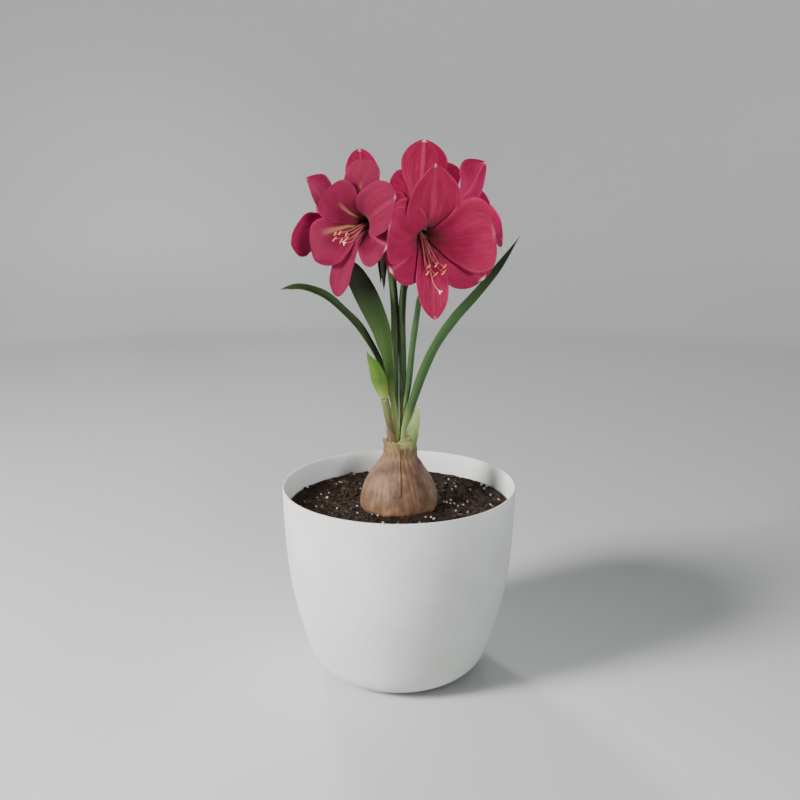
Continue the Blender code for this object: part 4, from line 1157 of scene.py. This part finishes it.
def strap_shape(route, face_root, face_tip, channel, root_channel, ripple=0.0):
    """shape(across, along) of a leaf whose route gives points and widths from root to tip."""
    line = smooth_route(route, 121)
    ahead = np.gradient(line[:, :3], axis=0)
    ahead /= np.linalg.norm(ahead, axis=1)[:, None]
    faces = [np.array(face) / np.linalg.norm(face) for face in (face_root, face_tip)]
    marks = np.linspace(0, 1, len(line))

    def along_line(values, t):
        return np.stack([np.interp(t, marks, values[:, k]) for k in range(3)], -1)

    def shape(s, t):
        middle = along_line(line, t)
        way = along_line(ahead, t)
        face = faces[0] + (faces[1] - faces[0]) * t[:, None]
        side = np.cross(way, face)
        side /= np.linalg.norm(side, axis=1)[:, None]
        up = np.cross(side, way)
        half = np.maximum(np.interp(t, marks, line[:, 3]), 0.0) / 2
        hollow = root_channel + (channel - root_channel) * step_up(t / 0.3)
        lift = hollow * half * s * s * 2 * (1 - 0.5 * t)
        lift += ripple * np.sin(9 * t * math.pi + 1.3 * np.sign(s)) * np.abs(s) ** 2 * step_up(t / 0.3)
        lift -= 0.25 * np.exp(-((s / 0.09) ** 2)) * np.minimum(half / 4, 1.0)
        return middle + side * (half * s)[:, None] + up * lift[:, None]

    return shape


def leaf_material(name, upper, lower, root_colour, dusk=None):
    """Two greens for the faces, a pale foot, and a dark tip where the blooms shade it."""
    made, tree, shader = new_material(
        name, Specular_IOR_Level=0.07, Subsurface_Weight=0.08, Subsurface_Scale=0.001
    )
    shader.inputs["Subsurface Radius"].default_value = (0.5, 1.0, 0.3)
    aside, along, under = sheet_place(tree)
    broad = veins(tree, 46.0, 1.2, Detail=3.0, From=0.48, To=0.66, Depth=0.20)
    fine = veins(tree, 150.0, 9.0, Detail=3.0, Roughness=0.65, Depth=0.05)
    mottle = grain(tree, Scale=60.0, From=0.70, To=0.35)
    colour = blend(tree, under, upper, lower)
    dull = blend(tree, 0.5, colour, (0.02, 0.03, 0.01))
    colour = blend(tree, calc(tree, "MULTIPLY", mottle["Mask"], 0.35), colour, dull)
    pale = blend(tree, 0.24, colour, (0.20, 0.30, 0.10))
    colour = blend(tree, calc(tree, "MULTIPLY", broad["Mask"], 0.8), colour, pale)
    colour = blend(tree, between(tree, aside, 0.90, 0.99, 0.5), colour, (0.20, 0.27, 0.11))
    colour = blend(tree, between(tree, along, 0.30, 0.02, 0.9), colour, root_colour)
    if dusk:
        low, high, strength = dusk
        shaded = calc(tree, "MULTIPLY", rise(tree, low, high), strength)
        colour = blend(tree, shaded, colour, (0.004, 0.0045, 0.002))
    roughness = ramp(tree, fine["Value"], (0.3, 0.50), (0.7, 0.68))
    wire(tree, shader, colour, roughness, relief(tree, broad["Height"], fine["Height"]))
    return made


LEAF_UPPER = (0.012, 0.021, 0.008)
LEAF_LOWER = (0.041, 0.085, 0.032)
BROAD_LOWER = (0.026, 0.056, 0.014)
LEAF_FOOT = (0.28, 0.35, 0.11)
strap_green = leaf_material("strap_green", LEAF_UPPER, LEAF_LOWER, LEAF_FOOT)
long_green = leaf_material("long_green", LEAF_UPPER, LEAF_LOWER, LEAF_FOOT, (450.0, 510.0, 0.88))
broad_green = leaf_material("broad_green", LEAF_UPPER, BROAD_LOWER, LEAF_FOOT, (424.0, 488.0, 1.0))
for name, route, face_root, face_tip, channel, root_channel in LEAVES:
    shape = strap_shape(route, face_root, face_tip, channel, root_channel, 0.25)
    strap = sheet(name + "_strap", shape, 18, 150, LEAF_THICKNESS, thin_edge=0.3)
    finish = {"leaf_broad_left": broad_green, "leaf_long_right": long_green}.get(name, strap_green)
    fit(strap, finish, "leaf", name)


# Young leaves: a short spoon-shaped one on its brown sheath at the left of the neck, and a
# light green one that pushes up between the old skins at the bulb's right shoulder.
YOUNG_LEAVES = (
    (
        "leaf_short",
        ((-17.6, -16.2, 354.6, 9.0), (-21.1, -18.0, 365.2, 15.5), (-24.8, -21.5, 378.2, 18.2),
         (-27.4, -23.5, 387.8, 16.2), (-30.2, -26.0, 397.1, 12.3), (-34.5, -28.5, 406.2, 6.7),
         (-37.9, -30.5, 414.5, 0.0)),
        (0.1, 1.0, 0.15), (0.1, 1.0, 0.3), 0.3, 0.3,
        (0.080, 0.160, 0.025), (0.22, 0.27, 0.06),
    ),
    (
        "leaf_stub_right",
        ((16.9, 13.2, 275.8, 15.0), (17.8, 12.8, 293.5, 15.6), (19.0, 11.8, 311.0, 14.4),
         (21.6, 11.5, 328.0, 9.0), (23.7, 11.5, 342.0, 0.0)),
        (-0.79, -0.61, 0.0), (0.3, -1.0, 0.0), 0.25, 0.08,
        (0.62, 0.80, 0.33), (0.62, 0.76, 0.34),
    ),
)
SHEATH_ROUTE = ((-7.6, -8.0, 285.3, 2.9), (-8.2, -8.5, 303.0, 3.7), (-12.6, -12.3, 328.5, 4.7),
                (-17.0, -15.6, 353.9, 4.8))
for name, route, face_root, face_tip, channel, root_channel, green, foot in YOUNG_LEAVES:
    shape = strap_shape(route, face_root, face_tip, channel, root_channel, 0.15)
    strap = sheet(name + "_blade", shape, 20, 70, LEAF_THICKNESS, thin_edge=0.35)
    finish = leaf_material(name + "_green", green, green, foot)
    fit(strap, finish, "young_leaf", name)

# A torn skin of the bulb wraps the light leaf's foot: its start and sweep in turns, its
# foot, its top and how far out it is held.
CUFF_START = 0.022
CUFF_SWEEP = 0.168
CUFF_FOOT = 258.0
CUFF_TOP = 288.0
CUFF_REACH = 25.0


def cuff_shape(across, along):
    turn = (CUFF_START + CUFF_SWEEP * (across + 1) / 2) * 2 * math.pi
    high = CUFF_FOOT + (CUFF_TOP + 6.0 * torn(turn, 31.0) - CUFF_FOOT) * along * (
        1.0 - 0.3 * np.abs(across) ** 3)
    close = bulb_radius(high) + 2.4
    held = CUFF_REACH * (1.0 - 0.28 * across**4)
    radius = 0.5 * (close + held + np.hypot(close - held, 1.5)) + 0.25 * np.sin(turn * 31)
    return np.stack([radius * np.cos(turn), radius * np.sin(turn), high], -1)


cuff = sheet("leaf_cuff", cuff_shape, 40, 24, 0.35, thin_edge=0.5)
fit(cuff, paper, "bulb")

husk, tree, shader = new_material("sheath_brown", Roughness=0.65)
ribs = grain(tree, Stretch=(1.0, 1.0, 0.05), Scale=520.0, Roughness=0.65, From=0.45, To=0.66, Depth=0.3)
colour = blend(tree, rise(tree, 300.0, 342.0), (0.105, 0.040, 0.020), (0.125, 0.145, 0.038))
colour = blend(tree, calc(tree, "MULTIPLY", ribs["Mask"], 0.6), colour, (0.05, 0.030, 0.012))
wire(tree, shader, colour, None, relief(tree, ribs["Height"]))
route = smooth_route(SHEATH_ROUTE, 40)
sheath = rod("sheath", route[:, :3], route[:, 3], 6)
fit(sheath, husk, "sheath", "leaf_short_sheath")
for i, (radius, top, start, sweep) in enumerate(((4.6, 314.0, 0.30, 0.62), (5.0, 309.0, 0.62, 0.55))):
    shape = scale_shape((-8.1, -8.4), (-0.15, -0.13), radius, 298.0, top, start, sweep, 5.0, 0.8, i + 21.0)
    collar = sheet(f"sheath_collar_{i}", shape, 44, 18, 0.35, thin_edge=0.5)
    fit(collar, paper, "sheath")


# Bracts: the two papery leaves that wrapped each bud. They dry up as the flowers open and
# hang down beside the stalk as dark, curled strips.
BRACTS = {
    "bract_left_front": ((-18.0, -3.2, 550.0), (-18.6, -15.0, 536.0), (-18.0, -19.0, 512.0), (-17.5, -19.0, 484.0)),
    "bract_left_back": ((-17.0, 11.4, 552.0), (-20.0, 22.0, 540.0), (-22.0, 25.0, 515.0), (-22.0, 23.0, 488.0)),
    "bract_right_front": ((14.0, -1.2, 551.5), (11.5, -10.0, 537.0), (10.5, -11.0, 512.0), (10.5, -9.5, 485.5)),
    "bract_right_back": ((17.0, 13.4, 553.0), (20.0, 23.0, 542.0), (22.0, 26.0, 518.0), (22.0, 25.0, 492.0)),
}
BRACT_WIDTHS = (4.5, 7.5, 7.5, 0.0)
withered, tree, shader = new_material("withered_bract", Roughness=0.8, Specular_IOR_Level=0.1)
folds = veins(tree, 26.0, 2.0, Roughness=0.65, Depth=0.5)
spots = grain(tree, Scale=170.0, From=0.60, To=0.75)
colour = ramp(
    tree, folds["Value"], (0.32, (0.008, 0.008, 0.006)), (0.55, (0.022, 0.020, 0.012)),
    (0.75, (0.070, 0.055, 0.030)),
)
colour = blend(tree, calc(tree, "MULTIPLY", spots["Mask"], 0.5), colour, (0.10, 0.055, 0.03))
wire(tree, shader, colour, None, relief(tree, folds["Height"]))
for name, route in BRACTS.items():
    face = (0.1, -1.0 if "back" in name else 1.0, 0.3)
    points = [(*point, width) for point, width in zip(route, BRACT_WIDTHS)]
    shape = strap_shape(points, face, face, 0.35, 0.1, 0.5)
    strip = sheet(name + "_strip", shape, 12, 60, 0.6, thin_edge=0.5)
    fit(strip, withered, "bract", name)


size = {"cad": [list(corner) for corner in cad_box], "visual": [list(corner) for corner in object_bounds()]}
